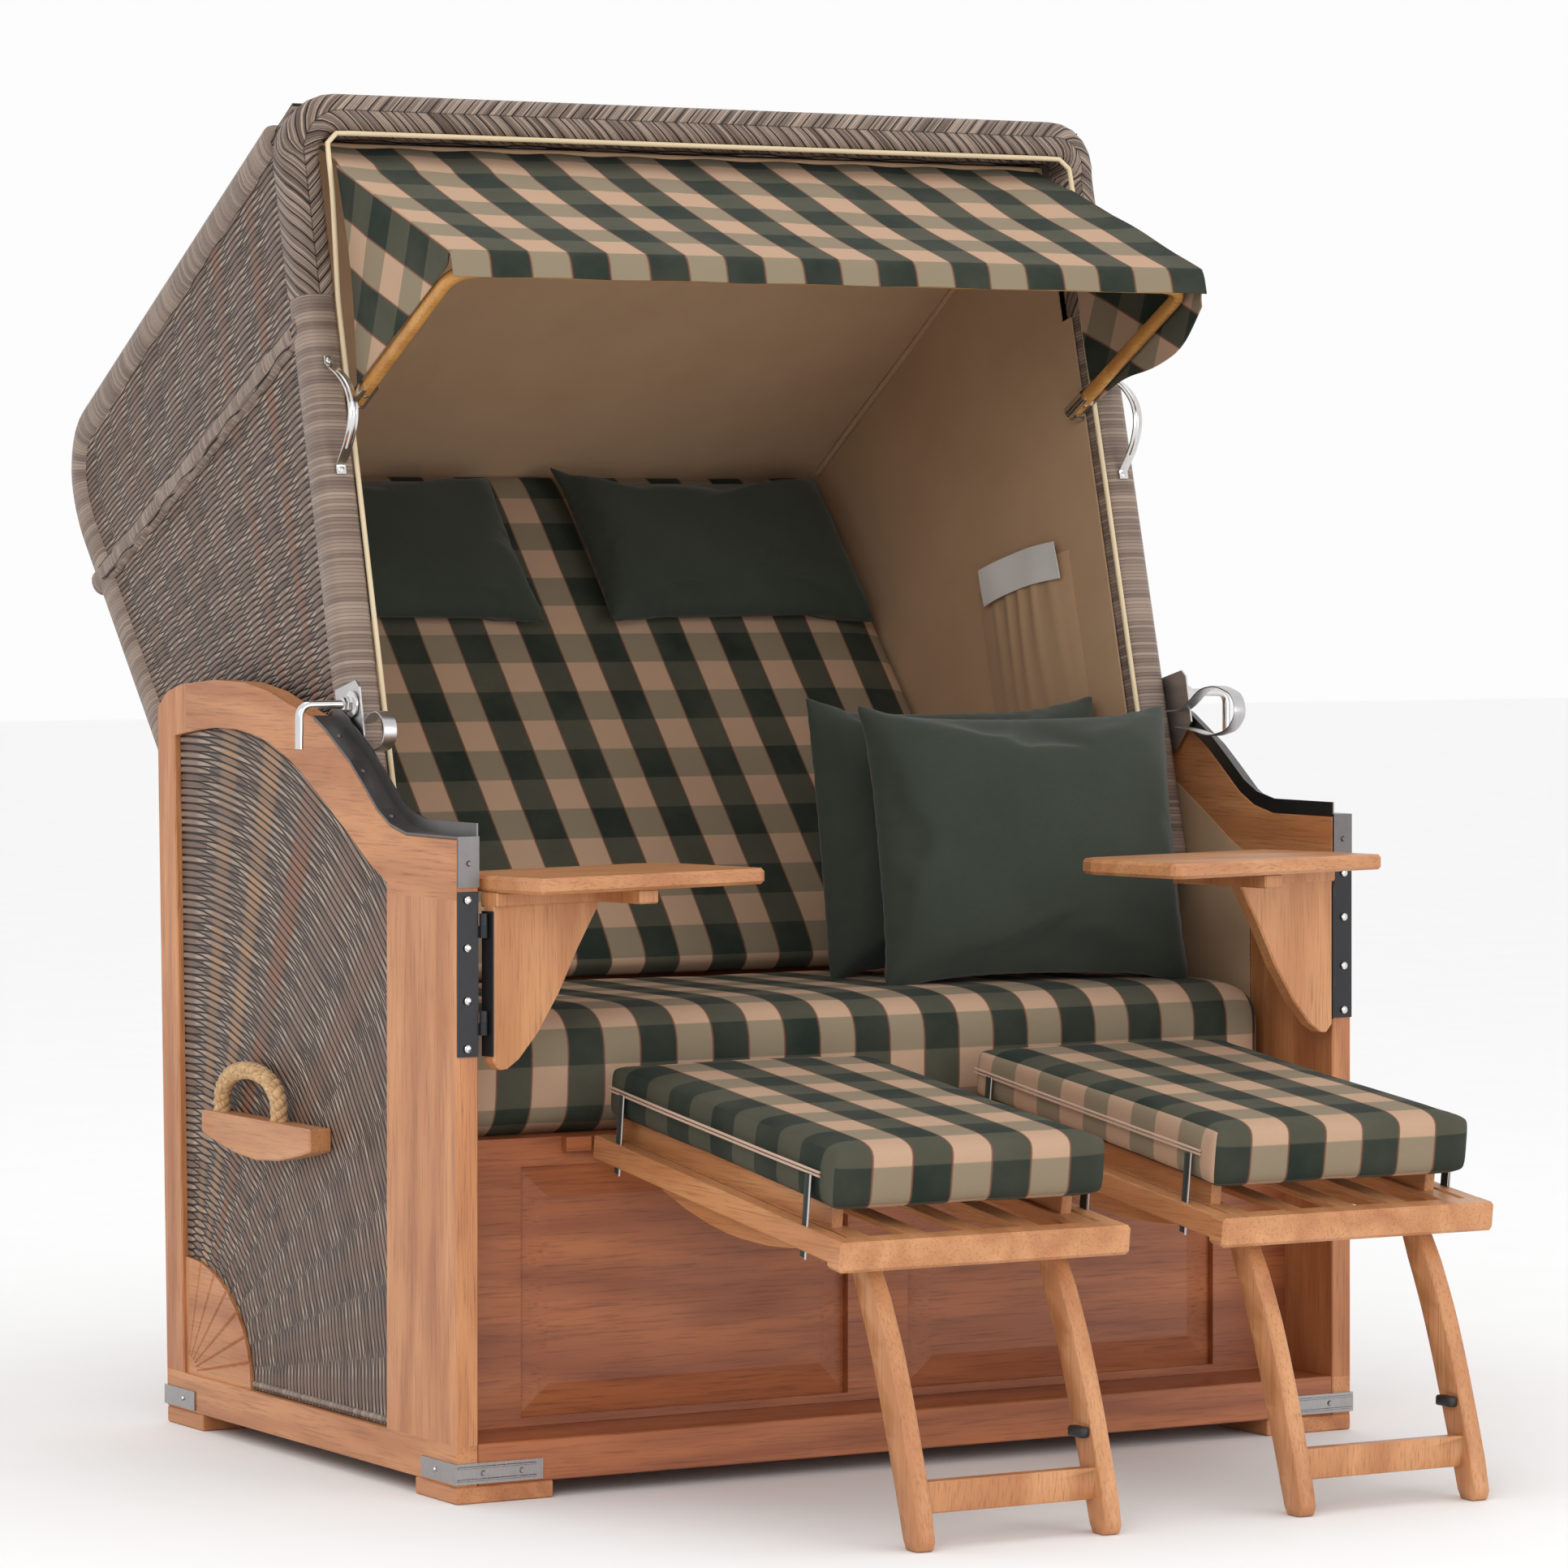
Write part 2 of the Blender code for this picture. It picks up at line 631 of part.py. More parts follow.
# base: sides
for side, tag in ((-1, "left"), (1, "right")):
    low, high = between(side, inner, half)
    outer_line = ([(FRONT_Y, FOOT_HEIGHT)] + [(FRONT_Y, ARM_Z)] + arch_outer[1:]
                  + [(rear_edge(REAR_LEAN_TOP), REAR_LEAN_TOP), (rear_edge(FOOT_HEIGHT), FOOT_HEIGHT)])
    opening = ([(post_rear_y, SIDE_RAIL_TOP), (rear_edge(SIDE_RAIL_TOP, 1), SIDE_RAIL_TOP),
                (rear_edge(REAR_LEAN_TOP, 1), REAR_LEAN_TOP)] + arch_inner[::-1] + [(post_rear_y, POST_TOP)])
    frame = [plate([outer_line, opening], low, high, round_edge=BRACKET_RIB)]
    for front, edge in ((True, FRONT_Y), (False, REAR_FOOT_Y)):
        way = 1 if front else -1
        y = sorted((edge, edge + way * FOOT_LENGTH))
        x = between(side, half - FOOT_WIDTH, half)
        frame.append(box((x[0], y[0], 0.0), (x[1], y[1], FOOT_HEIGHT), BRACKET_RIB))
        frame.append(box((low + SHEET, y[0] + FOOT_LENGTH / 4, FOOT_HEIGHT / 2),
                         (high - SHEET, y[1] - FOOT_LENGTH / 4, SIDE_RAIL_TOP - SHEET)))

    # quarter-round carved corner panel and the woven panel that meets it
    corner = (rear_edge(SIDE_RAIL_TOP, 1), SIDE_RAIL_TOP)
    hidden = (corner[0] + OVERRUN, corner[1] - OVERRUN)
    quarter = ([hidden, (hidden[0], corner[1] + QUARTER_HEIGHT)]
               + arc(corner, (QUARTER_LENGTH, QUARTER_HEIGHT), math.radians(90), math.pi, 9)
               + [(corner[0] - QUARTER_LENGTH, hidden[1])])
    skin_low, skin_high = between(side, half - WEAVE_RECESS - WEAVE_THICK, half - WEAVE_RECESS)
    carved_low, carved_high = between(side, half - WEAVE_RECESS / 2 - QUARTER_THICK, half - WEAVE_RECESS / 2)
    carved = plate([quarter], carved_low, carved_high)
    face = side * (half - WEAVE_RECESS / 2)
    grooves = []
    for i in range(1, QUARTER_RAYS):
        angle = math.pi / 2 + math.pi / 2 * i / QUARTER_RAYS
        long_reach, tall_reach = QUARTER_LENGTH + OVERRUN, QUARTER_HEIGHT + OVERRUN
        tip = Vector((math.cos(angle) * long_reach, math.sin(angle) * tall_reach))
        start = tip * 0.16
        grooves.append(rod((face, corner[0] + start.x, corner[1] + start.y),
                           (face, corner[0] + tip.x, corner[1] + tip.y), QUARTER_GROOVE / 2, sides=4,
                           tip=QUARTER_GROOVE))
    carved = combine(carved, grooves, "DIFFERENCE")
    node("side_frame_" + tag, "wood", root, [carved] + frame)

    woven_outline = ([(post_rear_y, SIDE_RAIL_TOP), (corner[0] - QUARTER_LENGTH, SIDE_RAIL_TOP)]
                     + arc(corner, (QUARTER_LENGTH, QUARTER_HEIGHT), math.pi, math.radians(90), 9)[1:]
                     + [(rear_edge(SIDE_RAIL_TOP + QUARTER_HEIGHT, 1), SIDE_RAIL_TOP + QUARTER_HEIGHT),
                        (rear_edge(REAR_LEAN_TOP, 1), REAR_LEAN_TOP)]
                     + arch_inner[::-1] + [(post_rear_y, POST_TOP)])
    woven = plate([inset(woven_outline, CLEAR + BRACKET_RIB / 2)], skin_low, skin_high)
    node("woven_panel_" + tag, "wicker", root, [woven])

    # steel strip along the arch with its standing flange, turned down over the arm's end
    path = [(FRONT_Y - CLEAR, ARM_Z - STRIP_DROP), (FRONT_Y - CLEAR, ARM_Z + CLEAR)]
    path += [(y, z + CLEAR) for y, z in arch_outer[1:9]]
    strip_low, strip_high = between(side, inner + CLEAR, half - CLEAR)
    strip = sweep_strip(path, strip_high - strip_low, STRIP_THICK, strip_low)
    ridge = [(y, z) for y, z in path[1:]]
    flange_low, flange_high = between(side, inner + CLEAR, inner + CLEAR + SHEET)
    flange = sweep_strip(ridge, flange_high - flange_low, FLANGE_HEIGHT, flange_low)
    rail_parts = [strip, flange]
    for index in (2, 4, 6):
        one, two = Vector(path[index + 1]), Vector(path[index + 2])
        middle = (one + two) / 2
        normal = Vector((-(two - one).y, (two - one).x)).normalized()
        seat = middle + normal * STRIP_THICK
        rail_parts.append(screw((side * (inner + BOARD * 0.62), seat.x, seat.y), (0.0, normal.x, normal.y)))
    rail_parts.append(screw((side * (inner + BOARD / 2), FRONT_Y - CLEAR - STRIP_THICK, ARM_Z - STRIP_DROP / 2),
                            (0.0, -1.0, 0.0)))
    node("arch_rail_" + tag, "steel", root, rail_parts)

    # wooden block and rope handle
    block_face = half - WEAVE_RECESS + CLEAR
    block_low, block_high = between(side, block_face, block_face + ROPE_BLOCK_DEPTH)
    front, rear = ROPE_BLOCK_FRONT_Y, ROPE_BLOCK_FRONT_Y + ROPE_BLOCK_LENGTH
    bulge = [(front + (rear - front) * s,
              ROPE_BLOCK_TOP - ROPE_BLOCK_HEIGHT * (0.55 + 0.45 * math.sin(math.pi * s)))
             for s in (0.0, 0.12, 0.3, 0.5, 0.7, 0.88, 1.0)]
    block = plate([[(rear, ROPE_BLOCK_TOP), (front, ROPE_BLOCK_TOP)] + bulge], block_low, block_high,
                  round_edge=SHEET)
    node("rope_block_" + tag, "wood", root, [block])
    rope_x = side * (block_face + ROPE_BLOCK_DEPTH / 2)
    rope_low = ROPE_BLOCK_TOP + CLEAR
    middle_y, reach = (ROPE_FRONT_Y + ROPE_REAR_Y) / 2, (ROPE_REAR_Y - ROPE_FRONT_Y) / 2
    loop = [(rope_x, ROPE_FRONT_Y, rope_low)]
    loop += [(rope_x, middle_y - reach * math.cos(math.pi * i / 12),
              rope_low + ROPE_RADIUS + (ROPE_RISE - ROPE_RADIUS) * math.sin(math.pi * i / 12) ** 0.8)
             for i in range(13)]
    loop += [(rope_x, ROPE_REAR_Y, rope_low)]
    node("rope_handle_" + tag, "rope", root, [tube(loop, ROPE_RADIUS)])

    # post leaf of the tray's hinge
    axis_x, axis_y = side * (inner - HINGE_OFFSET), FRONT_Y - HINGE_OFFSET
    leaf_low_x, leaf_high_x = between(side, inner + CLEAR * 3, half)
    leaf = box((leaf_low_x, FRONT_Y - CLEAR - SHEET, LEAF_LOW),
               (leaf_high_x, FRONT_Y - CLEAR, LEAF_LOW + LEAF_HEIGHT))
    knuckles = [rod((axis_x, axis_y, LEAF_LOW + LEAF_HEIGHT * share),
                    (axis_x, axis_y, LEAF_LOW + LEAF_HEIGHT * share + KNUCKLE_HEIGHT), KNUCKLE_RADIUS)
                for share in KNUCKLE_SHARES]
    tab_low, tab_high = between(side, inner - HINGE_OFFSET, inner + SHEET * 2)
    knuckles += [box((tab_low, FRONT_Y - CLEAR - SHEET, LEAF_LOW + LEAF_HEIGHT * share),
                     (tab_high, FRONT_Y - CLEAR, LEAF_LOW + LEAF_HEIGHT * share + KNUCKLE_HEIGHT))
                 for share in KNUCKLE_SHARES]
    heads = [screw((side * (inner + BOARD * 0.55), FRONT_Y - CLEAR - SHEET, LEAF_LOW + LEAF_HEIGHT * share),
                   (0.0, -1.0, 0.0)) for share in (0.05, 0.34, 0.66, 0.95)]
    node("post_leaf_" + tag, "black_steel", root, [leaf] + knuckles + heads)

# base: brackets, rails, panels
for side, tag in ((-1, "left"), (1, "right")):
    for place_name, edge, way in (("front", FRONT_Y, 1), ("rear", REAR_FOOT_Y + SHEET, -1)):
        out = CLEAR + SHEET
        plan = [(half + CLEAR, -CLEAR), (half + CLEAR, BRACKET_SIDE), (half + out, BRACKET_SIDE),
                (half + out, -out), (half - BRACKET_FRONT, -out), (half - BRACKET_FRONT, -CLEAR)]
        plan = [(side * a, edge + way * b) for a, b in plan]
        base_z = FOOT_HEIGHT + BRACKET_LIFT
        wrap = [plate([plan], base_z, base_z + BRACKET_HEIGHT, plane="XY")]
        for share in (0.2, 0.8):
            z = base_z + BRACKET_HEIGHT * share
            wrap.append(rod((side * half, edge - way * out, z),
                            (side * (half - BRACKET_FRONT * 0.92), edge - way * out, z), BRACKET_RIB, sides=6))
        for share in (0.3, 0.75):
            wrap.append(screw((side * (half - BRACKET_FRONT * share), edge - way * out,
                               base_z + BRACKET_HEIGHT / 2), (0.0, -way, 0.0)))
        wrap.append(screw((side * (half + out), edge + way * BRACKET_SIDE * 0.6, base_z + BRACKET_HEIGHT / 2),
                          (side, 0.0, 0.0)))
        node("bracket_" + place_name + "_" + tag, "steel", root, wrap)

span = inner - CLEAR
floor_top = seat_floor + FLOOR_THICK
back_y = REAR_PANEL_Y + RAIL_DEPTH
node("bottom_frame", "wood", root,
     [box((-span, FRONT_Y, seat_floor), (span, back_y, floor_top), BRACKET_RIB),
      box((-span, FRONT_Y, RAIL_LOW), (span, FRONT_Y + RAIL_DEPTH, seat_floor + FLOOR_THICK / 2), BRACKET_RIB),
      box((-span, back_y - RAIL_DEPTH, RAIL_LOW), (span, back_y, seat_floor + FLOOR_THICK / 2), BRACKET_RIB)])

panel_low = seat_floor + FLOOR_THICK + CLEAR
panel_back = PANEL_FRONT_Y + PANEL_THICK
opening_low, opening_high = panel_low + PANEL_RAIL * 0.3, SEAT_Z - PANEL_RAIL
openings = []
fields = []
for side in (-1, 1):
    near, far = PANEL_MULLION / 2, inner - PANEL_STILE
    openings.append([(side * near, opening_low), (side * far, opening_low), (side * far, opening_high),
                     (side * near, opening_high)])
    low_x, high_x = sorted((side * (near - OVERRUN), side * (far + OVERRUN)))
    plate_y = PANEL_FRONT_Y + (PANEL_THICK + FIELD_PLATE) / 2

    def field_shape(work, low_x=low_x, high_x=high_x, plate_y=plate_y):
        bmesh.ops.create_cube(work, size=1.0)
        bmesh.ops.scale(work, vec=(high_x - low_x, FIELD_PLATE, opening_high - opening_low + 2 * OVERRUN),
                        verts=work.verts)
        front = [f for f in work.faces if f.normal.y < -0.5]
        bmesh.ops.inset_region(work, faces=front, thickness=FIELD_BEVEL + OVERRUN, use_even_offset=True)
        centre = max((f for f in work.faces if f.normal.y < -0.5), key=lambda f: f.calc_area())
        bmesh.ops.translate(work, vec=(0.0, -FIELD_RISE, 0.0), verts=centre.verts)
        bmesh.ops.translate(work, vec=((low_x + high_x) / 2, plate_y, (opening_low + opening_high) / 2),
                            verts=work.verts)

    fields.append(object_from(field_shape))
outline = [(-span, panel_low), (span, panel_low), (span, SEAT_Z), (-span, SEAT_Z)]
panel_frame = plate([outline] + openings, PANEL_FRONT_Y, panel_back, plane="XZ")

node("rear_panel", "wood", root,
     [box((-span, REAR_PANEL_Y, panel_low), (span, REAR_PANEL_Y + REAR_PANEL_THICK, REAR_PANEL_TOP), SHEET)])
narrow = inner - ARM_SPACE
deck_front = panel_back + CLEAR
deck_rear = REAR_PANEL_Y - CLEAR
deck = [(-span, deck_front), (span, deck_front), (span, DECK_NARROW_Y), (narrow, DECK_NARROW_Y),
        (narrow, deck_rear), (-narrow, deck_rear), (-narrow, DECK_NARROW_Y), (-span, DECK_NARROW_Y)]
bearers = []
for side in (-1, 1):
    low, high = between(side, narrow - PIVOT_RAIL_THICK, narrow)
    bearers.append(box((low, deck_front, PIVOT_Z - PIVOT_RAIL_WIDTH / 2),
                       (high, deck_rear, SEAT_Z - DECK_THICK / 2)))
node("seat_frame", "wood", root, [plate([deck], SEAT_Z - DECK_THICK, SEAT_Z, plane="XY")] + bearers)

# seat cushion: wide in front, narrower for the arms
cushion_low = SEAT_Z + CLEAR * 2
cushion_length = CUSHION_REAR_Y - CUSHION_FRONT_Y


def seat_cage(work):
    bmesh.ops.create_cube(work, size=1.0)
    for axis, count in ((0, 7), (1, 5), (2, 1)):
        along = [e for e in work.edges if abs((e.verts[0].co - e.verts[1].co)[axis]) > 0.5 * e.calc_length()]
        bmesh.ops.subdivide_edges(work, edges=along, cuts=count, use_grid_fill=True)
    for vert in work.verts:
        share = vert.co * 2
        y = CUSHION_FRONT_Y + cushion_length * (vert.co.y + 0.5)
        wide = span - CLEAR if y < DECK_NARROW_Y - CUSHION_EDGE else narrow - CLEAR
        rise = CUSHION_CROWN * (1 - share.x ** 4) * (1 - share.y ** 4)
        edge = 1.0 if abs(share.y) < 0.99 else 0.72
        tight = 1.0 if abs(share.x) < 0.99 else 0.985
        vert.co.x = share.x * wide * tight
        vert.co.y = y
        height = CUSHION_HEIGHT / 2 * (edge if share.z > 0 or abs(share.y) > 0.99 else 1.0)
        vert.co.z = cushion_low + CUSHION_HEIGHT / 2 + share.z * height + (rise if share.z > 0 else 0.0)


cage = object_from(seat_cage)
form = cage.modifiers.new("form", "SUBSURF")
form.levels = 1
form.render_levels = 1
node("seat_cushion", "green_check", root, [cage], smooth=70.0)

# hook blocks for the footrests
frame_back = HOOK_LIP * math.cos(FOOTREST_SLOPE)
hook_low = FOOTREST_Z - (SEAT_Z - HOOK_HEIGHT)
hook_front = FOOTREST_Y + frame_back + hook_low * math.tan(FOOTREST_SLOPE) + CLEAR * 2
hooks = []
for centre in FOOTREST_X:
    for way in (-1, 1):
        for step in (FRAME_WIDTH / 2 + CLEAR + HOOK_WIDTH / 2, FRAME_WIDTH / 2 - HOOK_WIDTH):
            x = centre + way * step
            wide = HOOK_WIDTH / 2
            hooks.append(box((x - wide, hook_front, SEAT_Z - HOOK_HEIGHT),
                             (x + wide, PANEL_FRONT_Y + PANEL_THICK / 2, SEAT_Z - CLEAR), SHEET / 2))
node("front_panel", "wood", root, [panel_frame] + fields + hooks)

# trays
for side, tag, rest in ((-1, "left", TRAY_LEFT_REST), (1, "right", TRAY_RIGHT_REST)):
    axis = (side * (inner - HINGE_OFFSET), FRONT_Y - HINGE_OFFSET, 0.0)
    pivot = empty("tray_pivot_" + tag, root, axis, (0.0, 0.0, rest))
    way = -side                      # a tray reaches inward from its hinge
    near = KNUCKLE_RADIUS + SHEET + CLEAR * 3
    far = near + TRAY_LENGTH
    wide = TRAY_WIDTH / 2
    top = [(near, -wide), (far - TRAY_CORNER / 4, -wide), (far, -wide + TRAY_CORNER / 4),
           (far, wide - TRAY_CORNER), (far - TRAY_CORNER * 0.3, wide - TRAY_CORNER * 0.3),
           (far - TRAY_CORNER, wide), (near + TRAY_SLANT, wide),
           (near, wide / 4)]
    node("tray_top_" + tag, "wood", pivot,
         [plate([mirrored(top, way)], TRAY_LOW, TRAY_LOW + TRAY_THICK, plane="XY", round_edge=TRAY_ROUND)])
    wing_top = TRAY_LOW - CLEAR - WING_BATTEN_HEIGHT / 2
    drop = wing_top - WING_LOW
    wing = [(near, wing_top)] + [(near + (WING_LENGTH - near) * a, wing_top - drop * b) for a, b in WING_SHARES]
    board = plate([mirrored(wing, way)], -WING_THICK / 2, WING_THICK / 2, plane="XZ", round_edge=SHEET)
    batten_low, batten_high = TRAY_LOW - CLEAR - WING_BATTEN_HEIGHT, TRAY_LOW - CLEAR
    ends = sorted((way * near, way * (near + WING_BATTEN_LENGTH + WING_BATTEN_WIDTH / 2)))
    batten = box((ends[0], -WING_BATTEN_WIDTH / 2, batten_low), (ends[1], WING_BATTEN_WIDTH / 2, batten_high), SHEET)
    cross_at = near + WING_BATTEN_LENGTH + CLEAR
    ends = sorted((way * cross_at, way * (cross_at + WING_BATTEN_WIDTH)))
    cross = box((ends[0], -wide * 0.85, batten_low), (ends[1], wide * 0.85, batten_high), SHEET)
    node("tray_wing_" + tag, "wood", pivot, [board, cross, batten])
    leaf_x = sorted((way * (near - CLEAR - SHEET), way * (near - CLEAR)))
    leaf = box((leaf_x[0], -WING_THICK / 2, LEAF_LOW),
               (leaf_x[1], WING_THICK / 2, LEAF_LOW + LEAF_HEIGHT * 0.88))
    bridge = []
    for share in KNUCKLE_SHARES:
        low_z = LEAF_LOW + LEAF_HEIGHT * share + KNUCKLE_HEIGHT + CLEAR
        high_z = low_z + KNUCKLE_HEIGHT
        bridge.append(rod((0.0, 0.0, low_z), (0.0, 0.0, high_z), KNUCKLE_RADIUS))
        tab = sorted((0.0, leaf_x[0] if way < 0 else leaf_x[1]))
        bridge.append(box((tab[0], -SHEET / 2, low_z), (tab[1], SHEET / 2, high_z)))
    node("tray_leaf_" + tag, "black_steel", pivot, [leaf] + bridge)

# hood: frame, woven walls, lining
side_post_x = HOOD_HALF - HOOD_POST_RADIUS
plait_x = side_post_x
plait_low = PLAIT_END_Z

# plaited roll: down both posts and across the top
corner = PLAIT_RADIUS * 1.9
roll = [(-plait_x, POST_CENTRE_Y, plait_low), (-plait_x, POST_CENTRE_Y, PLAIT_Z - corner)]
roll += [(-plait_x + corner * (1 - math.cos(a)), POST_CENTRE_Y + (PLAIT_Y - POST_CENTRE_Y) * math.sin(a),
          PLAIT_Z - corner * (1 - math.sin(a))) for a in (math.pi / 6, math.pi / 3, math.pi / 2)]
roll += [(-x, y, z) for x, y, z in roll[::-1]]
roll[0] = (-plait_x, POST_CENTRE_Y, plait_low)
node("hood_plait", "wicker", hood, [tube(roll, PLAIT_RADIUS, resolution=2)])

# wrapped frame: front posts, bottom rolls, shoulder rolls and the rolls across the back
outline = [(HOOD_FRONT_Y, HOOD_TOP_FRONT_Z), (ROOF_REAR_Y, ROOF_REAR_Z), (SHOULDER_Y, SHOULDER_Z),
           (HIP_Y, HIP_Z), (HOOD_BASE_REAR_Y, HOOD_BASE_Z)]
plait_rear = POST_CENTRE_Y + PLAIT_RADIUS + CLEAR
roll_x = HOOD_HALF - EDGE_RADIUS
roof_slope = (ROOF_REAR_Z - HOOD_TOP_FRONT_Z) / (ROOF_REAR_Y - HOOD_FRONT_Y)
inward = offset_path(outline, -EDGE_RADIUS)
shoulder_start = plait_rear + EDGE_RADIUS * abs(roof_slope) + CLEAR
first = (shoulder_start, inward[0][1] + roof_slope * (shoulder_start - inward[0][0]))
last = at_height(inward[3], inward[4], HOOD_BASE_Z + BASE_ROLL_RADIUS)
base_z = HOOD_BASE_Z + BASE_ROLL_RADIUS
rolls = []
for side in (-1, 1):
    x = side * side_post_x
    rolls.append(([(x, POST_CENTRE_Y, HOOD_BASE_Z), (x, POST_CENTRE_Y, plait_low - CLEAR)], HOOD_POST_RADIUS))
    rolls.append(([(x, POST_CENTRE_Y, base_z), (x, inward[4][0], base_z)], BASE_ROLL_RADIUS))
    turns = (first, inward[1], inward[2], inward[3], last)
    rolls.append(([(side * roll_x, y, z) for y, z in turns], EDGE_RADIUS))
rolls.append(([(-roll_x, *inward[1]), (roll_x, *inward[1])], EDGE_RADIUS * 0.99))
frame = [tube(path, radius, resolution=2) for path, radius in rolls]
for side in (-1, 1):
    low, high = between(side, HOOD_HALF - ARM_THICK, side_post_x + BASE_ROLL_RADIUS / 2)
    frame.append(box((low, ARM_TOP_Y - ARM_WIDTH, HOOD_BASE_Z), (high, ARM_TOP_Y + ARM_WIDTH, base_z)))
node("hood_frame", "wicker", hood, frame)


def lengthened(path, extra):
    """The same path with both ends moved outward."""
    points = [Vector(point) for point in path]
    points[0] += (points[0] - points[1]).normalized() * extra
    points[-1] += (points[-1] - points[-2]).normalized() * extra
    return points


def fitted(made):
    """A wall trimmed to lie against the rolls and the plait, with a hair's gap."""
    gap = CLEAR * 1.3
    around = [tube(lengthened(path, gap), radius + gap, resolution=2) for path, radius in rolls]
    around.append(tube(lengthened(roll, gap), PLAIT_RADIUS + gap, resolution=2))
    return largest(combine(made, around, "DIFFERENCE"))


# woven side walls lie between the rolls, inside the outer face
skin_out = HOOD_HALF - EDGE_RADIUS * 0.35
wall_ring = [(POST_CENTRE_Y, base_z), (inward[4][0], base_z), inward[3], inward[2], inward[1],
             (POST_CENTRE_Y, inward[0][1] + roof_slope * (POST_CENTRE_Y - inward[0][0]))]
liner_reach = HOOD_INNER + CLEAR
for side, tag in ((-1, "left"), (1, "right")):
    low, high = between(side, skin_out - WALL_THICK, skin_out)
    body = fitted(plate([wall_ring], low, high))
    # the wrapped diagonal belt stands proud of the weave
    start = (POST_CENTRE_Y, BELT_FRONT_Z)
    belt = tube([(side * (skin_out - WALL_THICK / 3), start[0], start[1]),
                 (side * (skin_out - WALL_THICK / 3), BELT_REAR_Y, BELT_REAR_Z)], BELT_RADIUS, resolution=2)
    belt = fitted(combine(belt, [plate([wall_ring], *between(side, liner_reach, HOOD_HALF))], "INTERSECT"))
    node("hood_side_" + tag, "wicker", hood, [body, belt])

# woven roof and back, between the rolls
roof_top = offset_path([(HOOD_FRONT_Y, HOOD_TOP_FRONT_Z), (ROOF_REAR_Y, ROOF_REAR_Z)], -EDGE_RADIUS * 0.35)


def along_roof(y, drop):
    return roof_top[0][1] + roof_slope * (y - roof_top[0][0]) - drop


roof_start_y, roof_end_y = PLAIT_Y, inward[1][0]
roof = [(roof_start_y, along_roof(roof_start_y, 0.0)), (roof_end_y, along_roof(roof_end_y, 0.0)),
        (roof_end_y, along_roof(roof_end_y, WALL_THICK)), (roof_start_y, along_roof(roof_start_y, WALL_THICK))]
wall_reach = roll_x + EDGE_RADIUS / 4
node("hood_roof", "wicker", hood, [fitted(plate([roof], -wall_reach, wall_reach))])

back_line = offset_path([outline[3], outline[4]], -BACK_RECESS)
back_way = (Vector(back_line[1]) - Vector(back_line[0])).normalized()
back_in = Vector((back_way.y, -back_way.x))
back_top = Vector((inward[1][0] + EDGE_RADIUS - BACK_RECESS, inward[1][1]))
back_end = Vector(back_line[1])
wall_pts = [back_top, Vector((SHOULDER_Y - BACK_RECESS, SHOULDER_Z)), Vector(back_line[0]), back_end]
back_plan = [tuple(p) for p in wall_pts]
back_plan += offset_path(back_plan, -WALL_THICK)[::-1]
back_wall = fitted(plate([back_plan], -wall_reach, wall_reach))
hem_reach = roll_x - EDGE_RADIUS - CLEAR * 3
hem_roll = tube([(-hem_reach, *back_end), (hem_reach, *back_end)], HEM_RADIUS, resolution=2)
node("hood_back", "wicker", hood, [back_wall, hem_roll])

# cloth lining under the roof and on both cheeks, with a pocket sewn on each
roof_liner = [(plait_rear, LINER_TOP_FRONT_Z), (LINER_TOP_REAR_Y, LINER_TOP_REAR_Z)]
lining = [sweep_strip(roof_liner, 2 * HOOD_INNER - LINER_THICK, -LINER_THICK, -HOOD_INNER + LINER_THICK / 2)]
foot_in = Vector(back_line[1]) + back_in * (WALL_THICK + BACK_CUSHION_THICK)
for side in (-1, 1):
    hem = LINER_THICK / 2
    cheek = [(POST_CENTRE_Y, HOOD_BASE_Z), (foot_in.x, HOOD_BASE_Z),
             (LINER_TOP_REAR_Y - hem, LINER_TOP_REAR_Z - hem),
             (plait_rear + hem, LINER_TOP_FRONT_Z - hem), (plait_rear + hem, plait_low - CLEAR),
             (POST_CENTRE_Y, plait_low - CLEAR)]
    lining.append(plate([cheek], *between(side, HOOD_INNER - LINER_THICK, HOOD_INNER)))
    mid = (POCKET_FRONT_Y + POCKET_REAR_Y) / 2
    bag = [(POCKET_FRONT_Y, POCKET_HIGH_Z), (POCKET_REAR_Y, POCKET_HIGH_Z),
           (POCKET_REAR_Y - POCKET_THICK, POCKET_LOW_Z + POCKET_THICK * 4), (mid, POCKET_LOW_Z),
           (POCKET_FRONT_Y + POCKET_THICK * 2, POCKET_LOW_Z + POCKET_THICK * 4)]
    pocket = between(side, HOOD_INNER - LINER_THICK - POCKET_THICK, HOOD_INNER - LINER_THICK / 2)
    lining.append(plate([bag], *pocket, round_edge=POCKET_THICK * 0.3))
node("hood_lining", "beige_cloth", hood, lining)

# pivot arms with their bolts
for side, tag in ((-1, "left"), (1, "right")):
    top_z = HOOD_BASE_Z - CLEAR
    arm = [(-ARM_WIDTH / 2, -ARM_WIDTH / 2), (ARM_WIDTH / 2, -ARM_WIDTH / 2), (ARM_WIDTH / 2, ARM_WIDTH / 2),
           (ARM_TOP_Y + ARM_WIDTH, top_z), (ARM_TOP_Y - ARM_WIDTH, top_z), (-ARM_WIDTH / 2, ARM_WIDTH / 2)]
    bolt = rod((side * (HOOD_HALF - ARM_THICK - PIVOT_BOLT_THICK), 0.0, 0.0),
               (side * (half - WEAVE_RECESS / 2 - QUARTER_THICK - CLEAR), 0.0, 0.0),
               PIVOT_BOLT_RADIUS, sides=10)
    arm_board = plate([arm], *between(side, HOOD_HALF - ARM_THICK, HOOD_HALF))
    node("hood_arm_" + tag, "wood", hood, [arm_board, bolt])

